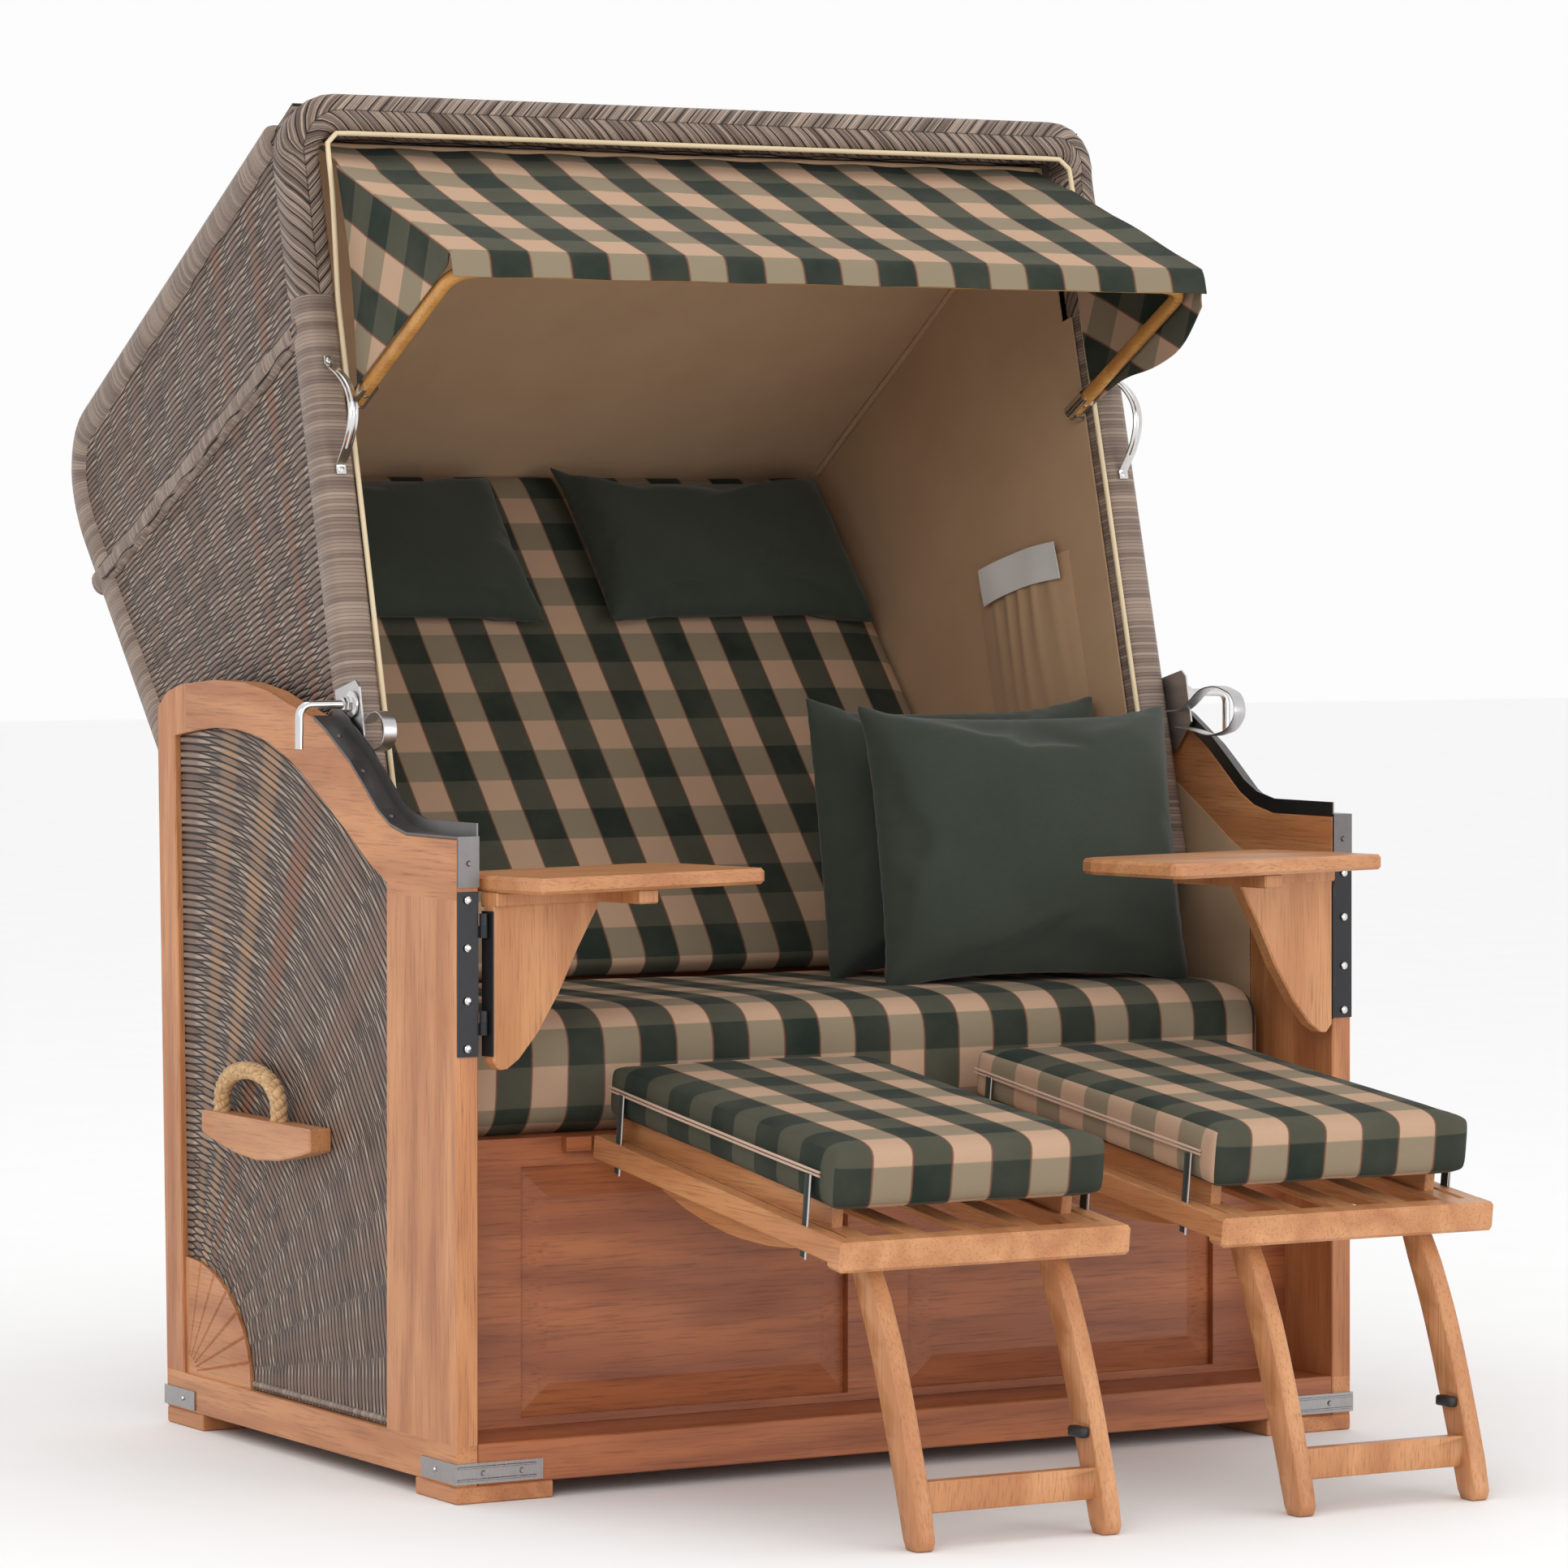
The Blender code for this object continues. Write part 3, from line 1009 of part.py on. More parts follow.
# back cushion on the sloping back
back_dir = Vector((0.0, -back_way.x, -back_way.y))
back_out = Vector((0.0, back_in.x, back_in.y))
foot = Vector((0.0, *at_height(back_line[0], back_line[1], BACK_FOOT_Z))) + back_out * (WALL_THICK + CLEAR * 2)
back_run = Vector((LINER_TOP_REAR_Y, LINER_TOP_REAR_Z)) - Vector((foot.y, foot.z))
cushion_run = back_run.length - BACK_CUSHION_SHORT
middle = foot + back_dir * (cushion_run / 2) + back_out * (BACK_CUSHION_THICK / 2)
shape = soft((2 * BACK_CUSHION_HALF, cushion_run, BACK_CUSHION_THICK - CUSHION_CROWN), (5, 4, 1),
             BACK_CUSHION_THICK * 0.3, CUSHION_CROWN / 2)
back_pad = place(shape, frame_matrix(middle, (1, 0, 0), back_dir))
node("back_cushion", "green_check", hood, [back_pad], smooth=70.0)

# neck pillows with a strap over the back cushion's top
front_foot = foot + back_out * BACK_CUSHION_THICK
roof_run = Vector(roof_liner[0]) - Vector(roof_liner[1])
roof_way = Vector((0.0, roof_run.x, roof_run.y)).normalized()
roof_normal = Vector((0.0, -roof_way.z, roof_way.y))
reach_up = (Vector((0.0, *roof_liner[1])) - front_foot).dot(roof_normal) / back_dir.dot(roof_normal)
for tag, centre_x, wide, sink in (("left", NECK_LEFT_X, NECK_LEFT_WIDTH, NECK_LEFT_SINK),
                                  ("right", NECK_RIGHT_X, NECK_RIGHT_WIDTH, NECK_RIGHT_SINK)):
    spot = front_foot + Vector((centre_x, 0.0, 0.0)) + back_dir * (reach_up - NECK_DROP - NECK_HEIGHT / 2)
    spot += back_out * (NECK_THICK / 2 - sink)
    pillow = soft((wide, NECK_HEIGHT, NECK_THICK), (4, 4, 0), NECK_THICK * 0.78, 0.0, waist=0.04)
    node("neck_pillow_" + tag, "green_cloth", hood, [place(pillow, frame_matrix(spot, (1, 0, 0), back_dir))],
         smooth=70.0)

# grab handles, chromed bows on the posts
for side, tag in ((-1, "left"), (1, "right")):
    x = side * side_post_x
    face_y = POST_CENTRE_Y - HOOD_POST_RADIUS - CLEAR
    low_z, high_z = GRAB_LOW_Z, GRAB_HIGH_Z
    steps = 8
    bow = [(x, face_y - GRAB_RADIUS - GRAB_OUT * math.sin(math.pi * i / steps),
            low_z + (high_z - low_z) * i / steps) for i in range(steps + 1)]
    bow.insert(0, (x, face_y - GRAB_RADIUS, low_z - GRAB_PLATE))
    bow.append((x, face_y - GRAB_RADIUS, high_z + GRAB_PLATE))
    ears = [box((x - GRAB_RADIUS, face_y - SHEET, z - GRAB_PLATE), (x + GRAB_RADIUS, face_y, z + GRAB_PLATE))
            for z in (low_z, high_z)]
    node("grab_handle_" + tag, "steel", hood, [tube(bow, GRAB_RADIUS)] + ears)

# latch plates with their bent strip loops
for side, tag in ((-1, "left"), (1, "right")):
    low, high = between(side, HOOD_HALF + CLEAR, HOOD_HALF + CLEAR + LATCH_THICK)
    tongue = [(POST_CENTRE_Y, LATCH_PLATE_LOW_Z), (LATCH_PLATE_Y, LATCH_PLATE_LOW_Z + LATCH_HEIGHT * 0.3),
              (LATCH_PLATE_Y, LATCH_PLATE_HIGH_Z), (POST_CENTRE_Y, LATCH_PLATE_HIGH_Z)]
    ring = [(LATCH_PLATE_Y + LATCH_REACH * a, LATCH_PLATE_LOW_Z + LATCH_HEIGHT * b)
            for a, b in ((0.1, 0.45), (-0.1, 0.62), (-0.35, 0.97), (-0.65, 0.92), (-0.93, 0.66), (-1.0, 0.3),
                         (-0.8, 0.08), (-0.45, 0.05), (-0.15, 0.22))]
    strip = ring + offset_path(ring, LATCH_THICK)[::-1]
    loop = plate([strip], *between(side, HOOD_HALF - LATCH_STRIP, HOOD_HALF + CLEAR + LATCH_THICK / 2))
    node("latch_lever_" + tag, "steel", hood, [plate([tongue], low, high), loop])

# awning
bow_y, bow_z = -BOW_REACH, BOW_RISE
arm_vec = Vector((0.0, bow_y, bow_z))
flat_x = HOOD_INNER - LINER_THICK - CLEAR - SOCKET_WALL - BOW_WIDTH / 2
corner_steps = 5
leg_length = math.hypot(BOW_REACH, BOW_RISE)
bow_plan = [(-flat_x, SOCKET_LENGTH * 0.2)]
bow_plan += [(-flat_x + BOW_CORNER * (1 - math.cos(math.pi / 2 * i / corner_steps)),
              leg_length - BOW_CORNER * (1 - math.sin(math.pi / 2 * i / corner_steps)))
             for i in range(corner_steps + 1)]
bow_plan += [(-x, d) for x, d in bow_plan[::-1]]
bow_inner = offset_path(bow_plan, BOW_WIDTH / 2)
bow_outer = offset_path(bow_plan, -BOW_WIDTH / 2)
bow = plate([bow_outer + bow_inner[::-1]], -BOW_THICK / 2, BOW_THICK / 2, plane="XY",
            round_edge=BOW_THICK * 0.2)
bow_turn = frame_matrix((0.0, 0.0, 0.0), (1, 0, 0), arm_vec)
node("awning_bow", "bow_wood", awning, [place(bow, bow_turn)])
for side, tag in ((-1, "left"), (1, "right")):
    reach = BOW_WIDTH / 2 + SOCKET_WALL
    deep = BOW_THICK / 2 + SOCKET_WALL
    shell = box((side * flat_x - reach, -SOCKET_LENGTH * 0.3, -deep), (side * flat_x + reach, SOCKET_LENGTH, deep))
    bore = box((side * flat_x - BOW_WIDTH / 2 - CLEAR, SOCKET_LENGTH * 0.15, -BOW_THICK / 2 - CLEAR),
               (side * flat_x + BOW_WIDTH / 2 + CLEAR, SOCKET_LENGTH + OVERRUN, BOW_THICK / 2 + CLEAR))
    node("awning_socket_" + tag, "steel", awning, [place(combine(shell, [bore], "DIFFERENCE"), bow_turn)])

# cloth from under the plait to the bow, with a front drop and two side flaps
lift = BOW_THICK / 2 + CLOTH_GAP
upper = Vector((CLOTH_TOP_Y - CAP_Y, CLOTH_TOP_Z - CAP_Z))
front_edge = Vector((-BOW_REACH, BOW_RISE)) * (1 + (BOW_WIDTH / 2 + CLOTH_GAP) / leg_length)
lead = front_edge + Vector((0.0, lift)) - upper
plait_front = POST_CENTRE_Y - HOOD_POST_RADIUS - CLOTH_GAP * 1.5 - CAP_Y
cloth_narrow = HOOD_INNER - LINER_THICK - CLOTH_GAP * 2
cloth_wide = flat_x + BOW_WIDTH / 2 + CLEAR + CLOTH_THICK


def cloth_cage(work):
    columns, rows = 12, 7
    bmesh.ops.create_grid(work, x_segments=columns, y_segments=rows, size=0.5)
    drop_share = (rows - 1) / rows
    for vert in work.verts:
        across, down = vert.co.x * 2, 0.5 - vert.co.y
        sag = CLOTH_GAP * 2 * math.sin(math.pi * min(down / drop_share, 1.0)) * (1 - across ** 4)
        if down <= drop_share + 0.01:
            y, z = upper + lead * (down / drop_share)
            z -= sag
        else:
            y, z = upper + lead + Vector((-CLOTH_GAP, -CLOTH_DROP))
            y += CLOTH_GAP * 0.5 * math.sin(across * math.pi * 5)
        reach = cloth_narrow if y > plait_front - CLOTH_GAP else cloth_wide - CLOTH_THICK / 2
        vert.co = (across * reach, y, z)


top_sheet = object_from(cloth_cage)
shell = top_sheet.modifiers.new("thickness", "SOLIDIFY")
shell.thickness = CLOTH_THICK
shell.offset = 0.0
seam = CLOTH_THICK * 0.7
tip = upper + lead + Vector((-seam, seam))


def along_cloth(y):
    return (y, seam + upper.y + lead.y * (y - upper.x) / lead.x)


flaps = []
for side in (-1, 1):
    flap = [along_cloth(plait_front - CLOTH_DROP / 2), tuple(tip),
            (tip.x - CLOTH_GAP, tip.y - CLOTH_DROP * 1.05),
            (-BOW_REACH * 0.62, BOW_RISE * 0.62 - FLAP_DROP),
            (-BOW_REACH * 0.22, FLAP_LOW), (plait_front, FLAP_LOW * 2),
            (plait_front, along_cloth(plait_front - CLOTH_DROP / 2)[1] - CLOTH_DROP / 4)]
    flaps.append(plate([flap], *between(side, cloth_wide - CLOTH_THICK, cloth_wide)))
node("awning_cloth", "green_check", awning, [top_sheet] + flaps, smooth=70.0)

# clamps
for side, tag in ((-1, "left"), (1, "right")):
    pivot = empty("clamp_pivot_" + tag, hood, (0.0, CLAMP_Y, CLAMP_Z))
    seat_x = HOOD_HALF + CLEAR * 2 + LATCH_THICK
    disc = rod((side * seat_x, 0.0, 0.0), (side * (seat_x + CLAMP_DISC_THICK), 0.0, 0.0),
               CLAMP_DISC_RADIUS, sides=20)
    hub = rod((side * (seat_x + CLAMP_DISC_THICK / 2), 0.0, 0.0),
              (side * (seat_x + CLAMP_DISC_THICK * 4), 0.0, 0.0),
              CLAMP_HUB_RADIUS, sides=10)
    reach = CLAMP_REACH - CLAMP_ROD_RADIUS
    bend = CLAMP_ROD_RADIUS * 2.5
    turn = math.sin(-HOOD_REST), math.cos(-HOOD_REST)
    lever = [(side * (seat_x + CLAMP_DISC_THICK * 3), 0.0, 0.0), (side * (reach - bend), 0.0, 0.0),
             (side * (reach - bend * 0.3), -bend * 0.3 * turn[0] * -1, -bend * 0.3 * turn[1]),
             (side * reach, bend * turn[0], -bend * turn[1]),
             (side * reach, CLAMP_DROP * turn[0], -CLAMP_DROP * turn[1])]
    node("clamp_bolt_" + tag, "steel", pivot, [disc, hub, tube(lever, CLAMP_ROD_RADIUS)])

# footrests
for centre, tag in zip(FOOTREST_X, ("left", "right")):
    pivot = empty("footrest_pivot_" + tag, root, (centre, FOOTREST_Y, FOOTREST_Z), (FOOTREST_SLOPE, 0.0, 0.0))
    wide = FRAME_WIDTH / 2
    thick = FRAME_HEIGHT / 2
    rail_end = -FRAME_LENGTH + FRONT_BAR_DEPTH + CLEAR
    bow_start, bow_end = FRAME_LENGTH * BOW_START_SHARE, FRAME_LENGTH * BOW_END_SHARE
    wood = []
    for way in (-1, 1):
        low, high = between(way, wide - FRAME_RAIL, wide)
        wood.append(box((low, rail_end - FRONT_BAR_DEPTH / 2, -thick), (high, HOOK_LIP, thick), SHEET))
        low, high = between(way, wide - FRAME_RAIL - RUNNER_THICK, wide - FRAME_RAIL + SHEET)
        runner = [(-bow_start, -SHEET), (-bow_end, -SHEET)]
        runner += [(-bow_end + (bow_end - bow_start) * s, -thick - BOW_DEPTH * math.sin(math.pi * s) ** 0.8)
                   for s in (0.0, 0.1, 0.25, 0.4, 0.5, 0.6, 0.75, 0.9, 1.0)]
        wood.append(plate([runner], low, high))
    wood.append(box((-wide - SHEET, -FRAME_LENGTH, thick - FRONT_BAR_HEIGHT),
                    (wide + SHEET, rail_end, thick + SHEET / 4), TRAY_ROUND))
    for way in (-1, 1):
        low, high = between(way, wide - FRAME_RAIL - LEDGE_STEP - LEDGE_WIDTH, wide - FRAME_RAIL - LEDGE_STEP)
        wood.append(box((low, rail_end + LEDGE_BACK, -thick * 0.5), (high, -FRAME_RAIL / 2, thick + PAD_LIFT),
                        SHEET / 2))
    rear_span = wide - FRAME_RAIL / 2
    wood.append(box((-rear_span, -FRAME_RAIL, -thick * 0.9), (rear_span, 0.0, thick * 0.95), SHEET))
    for i in range(SLATS):
        x = (i - (SLATS - 1) / 2) * SLAT_PITCH
        wood.append(box((x - SLAT_WIDTH / 2, rail_end - FRONT_BAR_DEPTH / 2, thick - SLAT_THICK),
                        (x + SLAT_WIDTH / 2, -FRAME_RAIL / 2, thick - SHEET / 4), SHEET / 2))
    node("footrest_frame_" + tag, "wood", pivot, wood)

    lift_pad = thick + PAD_LIFT + CLEAR * 2

    def pad_cage(work, lift_pad=lift_pad):
        bmesh.ops.create_cube(work, size=1.0)
        for axis, count in ((0, 4), (1, 5), (2, 1)):
            along = [e for e in work.edges if abs((e.verts[0].co - e.verts[1].co)[axis]) > 0.5 * e.calc_length()]
            bmesh.ops.subdivide_edges(work, edges=along, cuts=count, use_grid_fill=True)
        for vert in work.verts:
            share = vert.co * 2
            front = 0.5 - vert.co.y
            tall = PAD_REAR + (PAD_FRONT - PAD_REAR) * front
            crown = CUSHION_CROWN / 2 * (1 - share.x ** 4) * (1 - share.y ** 4)
            draw = 0.985 if abs(share.x) > 0.99 and share.z < 0.5 else 1.0
            vert.co.x = share.x * PAD_WIDTH / 2 * draw
            vert.co.y = -PAD_BACK_STEP - PAD_LENGTH * front
            vert.co.z = lift_pad + tall * (share.z + 1) / 2 + (crown if share.z > 0.5 else 0.0)

    pad = object_from(pad_cage)
    round_pad = pad.modifiers.new("edges", "BEVEL")
    round_pad.width = PAD_REAR * 0.12
    round_pad.segments = 2
    round_pad.limit_method = "ANGLE"
    round_pad.angle_limit = math.radians(50.0)
    node("footrest_cushion_" + tag, "green_check", pivot, [pad], smooth=50.0)

    # folding legs stand plumb, so their empty undoes the frame's slope
    legs = empty("leg_pivot_" + tag, pivot, (0.0, -LEG_HINGE, -LEG_HINGE_DROP), (-FOOTREST_SLOPE, 0.0, 0.0))
    slope_sin, slope_cos = math.sin(FOOTREST_SLOPE), math.cos(FOOTREST_SLOPE)
    leg_drop = FOOTREST_Z - LEG_HINGE * slope_sin - LEG_HINGE_DROP * slope_cos
    front_edge_pts = []
    rear_edge_pts = []
    for drop_share, reach_share, depth_share in LEG_SHARES:
        y, z = -LEG_FORWARD * reach_share, -leg_drop * drop_share
        depth = LEG_DEPTH * depth_share / 2
        front_edge_pts.append((y - depth, z))
        rear_edge_pts.append((y + depth, z))
    cap = [(LEG_TOP_RADIUS * math.cos(a), LEG_TOP_RADIUS * math.sin(a)) for a in
           (math.radians(40), math.radians(90), math.radians(140))]
    leg_outline = front_edge_pts[::-1] + cap[::-1] + rear_edge_pts
    timber = []
    for way in (-1, 1):
        x = way * LEG_SPACING / 2
        timber.append(plate([leg_outline], x - LEG_THICK / 2, x + LEG_THICK / 2, round_edge=SHEET))
    cross_y = -LEG_FORWARD * (1 - STRETCHER_Z / leg_drop)
    cross_x = LEG_SPACING / 2 - LEG_THICK / 2
    stretcher_z = STRETCHER_Z - leg_drop
    span, deep, tall = cross_x + SHEET * 2, STRETCHER_THICK / 2, STRETCHER_HEIGHT / 2
    timber.append(box((-span, cross_y - deep, stretcher_z - tall), (span, cross_y + deep, stretcher_z + tall), SHEET))
    rod_reach = wide - FRAME_RAIL - CLEAR
    for way in (-1, 1):
        timber.append(rod((way * LEG_SPACING / 2, 0.0, 0.0), (way * rod_reach, 0.0, 0.0), LEG_ROD, sides=8))
    node("footrest_legs_" + tag, "wood", legs, timber)
    clip_y = -LEG_FORWARD * (1 - CLIP_Z / leg_drop) * 1.02
    clip_z = CLIP_Z - leg_drop
    node("leg_clip_" + tag, "black_plastic", legs,
         [box((cross_x - CLIP_WIDTH, clip_y - CLIP_LENGTH / 2, clip_z - CLIP_WIDTH / 2),
              (cross_x - CLEAR, clip_y + CLIP_LENGTH / 2, clip_z + CLIP_WIDTH / 2), SHEET)])

# throw pillows standing on the seat
cushion_top = cushion_low + CUSHION_HEIGHT + CUSHION_CROWN
for tag, foot_left, foot_right, lean, sink in (
        ("front", THROW_FRONT_LEFT, THROW_FRONT_RIGHT, THROW_FRONT_LEAN, THROW_FRONT_SINK),
        ("rear", THROW_REAR_LEFT, THROW_REAR_RIGHT, THROW_REAR_LEAN, THROW_REAR_SINK)):
    left, right = Vector((*foot_left, cushion_top)), Vector((*foot_right, cushion_top))
    across = (right - left).normalized()
    flat_back = Vector((0.0, 0.0, 1.0)).cross(across)
    up = Vector((0.0, 0.0, math.cos(math.radians(lean)))) + flat_back * math.sin(math.radians(lean))
    spot = (left + right) / 2 + up * (THROW_HEIGHT / 2 - sink)
    pillow = soft((THROW_WIDTH, THROW_HEIGHT, THROW_THICK), (4, 4, 0), THROW_THICK * 0.85, 0.0, waist=0.05)
    pillow = place(pillow, frame_matrix(spot, across, up))
    node("throw_pillow_" + tag, "green_cloth", root, [pillow], smooth=70.0)

# the origin is under the middle of the whole chair
bpy.context.view_layer.update()
corners = [made.matrix_world @ vert.co for made in chair.objects
           if made.type == "MESH" for vert in made.data.vertices]
root.location.y = -(min(c.y for c in corners) + max(c.y for c in corners)) / 2
bpy.context.view_layer.update()
print("extent x %.4f..%.4f y %.4f..%.4f z %.4f..%.4f" % (
    min(c.x for c in corners), max(c.x for c in corners), min(c.y for c in corners) + root.location.y,
    max(c.y for c in corners) + root.location.y, min(c.z for c in corners), max(c.z for c in corners)))
print("root shift %.5f" % root.location.y)
for made in chair.objects:
    if made.type == "EMPTY":
        print("pivot %-22s %.5f %.5f %.5f" % (made.name, *made.matrix_world.translation))
total = sum(len(made.data.loop_triangles) for made in chair.objects if made.type == "MESH")
print("nodes", len([made for made in chair.objects if made.type == "MESH"]), "triangles", total)
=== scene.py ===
import math
import random
import bmesh
import bpy
from mathutils import Matrix, Vector


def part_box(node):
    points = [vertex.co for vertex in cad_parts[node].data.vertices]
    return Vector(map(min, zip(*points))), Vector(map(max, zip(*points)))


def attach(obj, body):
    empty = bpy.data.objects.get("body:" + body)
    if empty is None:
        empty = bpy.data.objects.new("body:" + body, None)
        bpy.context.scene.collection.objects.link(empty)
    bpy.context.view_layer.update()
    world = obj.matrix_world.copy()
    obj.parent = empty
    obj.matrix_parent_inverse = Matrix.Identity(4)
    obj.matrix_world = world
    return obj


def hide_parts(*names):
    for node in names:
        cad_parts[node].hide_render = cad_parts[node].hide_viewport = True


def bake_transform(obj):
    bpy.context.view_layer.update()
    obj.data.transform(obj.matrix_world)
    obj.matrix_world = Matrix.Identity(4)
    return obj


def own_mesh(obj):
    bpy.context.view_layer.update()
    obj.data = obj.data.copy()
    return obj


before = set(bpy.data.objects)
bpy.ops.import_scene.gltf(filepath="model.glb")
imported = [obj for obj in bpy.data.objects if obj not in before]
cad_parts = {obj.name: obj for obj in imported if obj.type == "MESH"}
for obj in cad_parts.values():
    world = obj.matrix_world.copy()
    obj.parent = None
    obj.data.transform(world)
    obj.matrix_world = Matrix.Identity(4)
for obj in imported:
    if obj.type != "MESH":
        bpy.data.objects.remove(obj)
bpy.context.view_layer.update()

# the photograph's camera
shot = {"place": (-3.932, -6.822, 1.112), "turn": -29.924, "lens": 144.26, "shiftUp": -0.1523}
cameraData = bpy.data.cameras.new("photo camera")
camera = bpy.data.objects.new("photo camera", cameraData)
bpy.context.scene.collection.objects.link(camera)
camera.location = shot["place"]
camera.rotation_euler = (math.radians(90), 0.0, math.radians(shot["turn"]))
cameraData.sensor_width = 36.0
cameraData.lens = shot["lens"]
cameraData.shift_y = shot["shiftUp"]
cameraData.clip_end = 60.0
bpy.context.scene.camera = camera
bpy.context.scene.view_settings.view_transform = "Standard"
print("stage: camera")


# node helpers
def put(tree, kind, sockets=None, **settings):
    made = tree.nodes.new(kind)
    for name, value in settings.items():
        setattr(made, name, value)
    for name, value in (sockets or {}).items():
        if isinstance(value, bpy.types.NodeSocket):
            tree.links.new(value, made.inputs[name])
        else:
            made.inputs[name].default_value = value
    return made


def calc(tree, operation, first, second=0.0, third=0.0, clamp=False):
    values = {0: first, 1: second, 2: third}
    return put(tree, "ShaderNodeMath", values, operation=operation, use_clamp=clamp).outputs[0]


def times(tree, first, second):
    return calc(tree, "MULTIPLY", first, second)


def plus(tree, first, second):
    return calc(tree, "ADD", first, second)


def minus(tree, first, second, clamp=False):
    return calc(tree, "SUBTRACT", first, second, clamp=clamp)


def spread(tree, value, low, high, toLow=0.0, toHigh=1.0, smooth=False):
    made = put(tree, "ShaderNodeMapRange", {0: value, 1: low, 2: high, 3: toLow, 4: toHigh},
               interpolation_type="SMOOTHSTEP" if smooth else "LINEAR")
    return made.outputs[0]


def tint(tree, factor, first, second, blend="MIX"):
    made = put(tree, "ShaderNodeMix", data_type="RGBA", blend_type=blend)
    for index, value in ((0, factor), (6, first), (7, second)):
        if isinstance(value, bpy.types.NodeSocket):
            tree.links.new(value, made.inputs[index])
        elif index:
            made.inputs[index].default_value = (*value, 1.0)
        else:
            made.inputs[index].default_value = value
    return made.outputs[2]


def noise(tree, vector, scale, detail=2.0, rough=0.5):
    values = {"Vector": vector, "Scale": scale, "Detail": detail, "Roughness": rough}
    return put(tree, "ShaderNodeTexNoise", values).outputs[0]


def group(name, inputs, outputs):
    tree = bpy.data.node_groups.new(name, "ShaderNodeTree")
    for label, kind, value in inputs:
        socket = tree.interface.new_socket(name=label, in_out="INPUT", socket_type="NodeSocket" + kind)
        if value is not None:
            socket.default_value = value
    for label, kind in outputs:
        tree.interface.new_socket(name=label, in_out="OUTPUT", socket_type="NodeSocket" + kind)
    return tree, tree.nodes.new("NodeGroupInput").outputs, tree.nodes.new("NodeGroupOutput").inputs


def use(tree, name, **sockets):
    made = tree.nodes.new("ShaderNodeGroup")
    made.node_tree = bpy.data.node_groups[name]
    for label, value in sockets.items():
        if isinstance(value, bpy.types.NodeSocket):
            tree.links.new(value, made.inputs[label])
        else:
            made.inputs[label].default_value = value
    return made.outputs


def split(tree, vector):
    return put(tree, "ShaderNodeSeparateXYZ", {0: vector}).outputs


def join(tree, x, y, z=0.0):
    return put(tree, "ShaderNodeCombineXYZ", {0: x, 1: y, 2: z}).outputs[0]


def stretch(tree, axes, scales, seed=0.0):
    first = calc(tree, "MULTIPLY_ADD", axes[0], scales[0], seed)
    return join(tree, first, *(times(tree, axes[i], scales[i]) for i in range(1, len(scales))))


def domed(tree, away, squeeze):       # a round back over each strand
    drop = calc(tree, "POWER", times(tree, away, squeeze), 2.0)
    return calc(tree, "SQRT", minus(tree, 1.0, drop, clamp=True))


def patternOf(tree):
    return put(tree, "ShaderNodeUVMap", uv_map="pattern").outputs[0]


def placeOf(tree):
    return put(tree, "ShaderNodeTexCoord").outputs["Object"]


def newFinish(name, settings):
    made = bpy.data.materials.new(name)
    made.use_nodes = True
    tree = made.node_tree
    shader = tree.nodes["Principled BSDF"]
    for label, value in settings.items():
        shader.inputs[label].default_value = value
    return made, tree, shader


def dress(tree, shader, colour=None, rough=None, height=None, strength=0.3, distance=0.001):
    if colour is not None:
        tree.links.new(colour, shader.inputs["Base Color"])
    if rough is not None:
        tree.links.new(rough, shader.inputs["Roughness"])
    if height is not None:
        bump = put(tree, "ShaderNodeBump", {"Strength": strength, "Distance": distance, "Height": height})
        tree.links.new(bump.outputs[0], shader.inputs["Normal"])


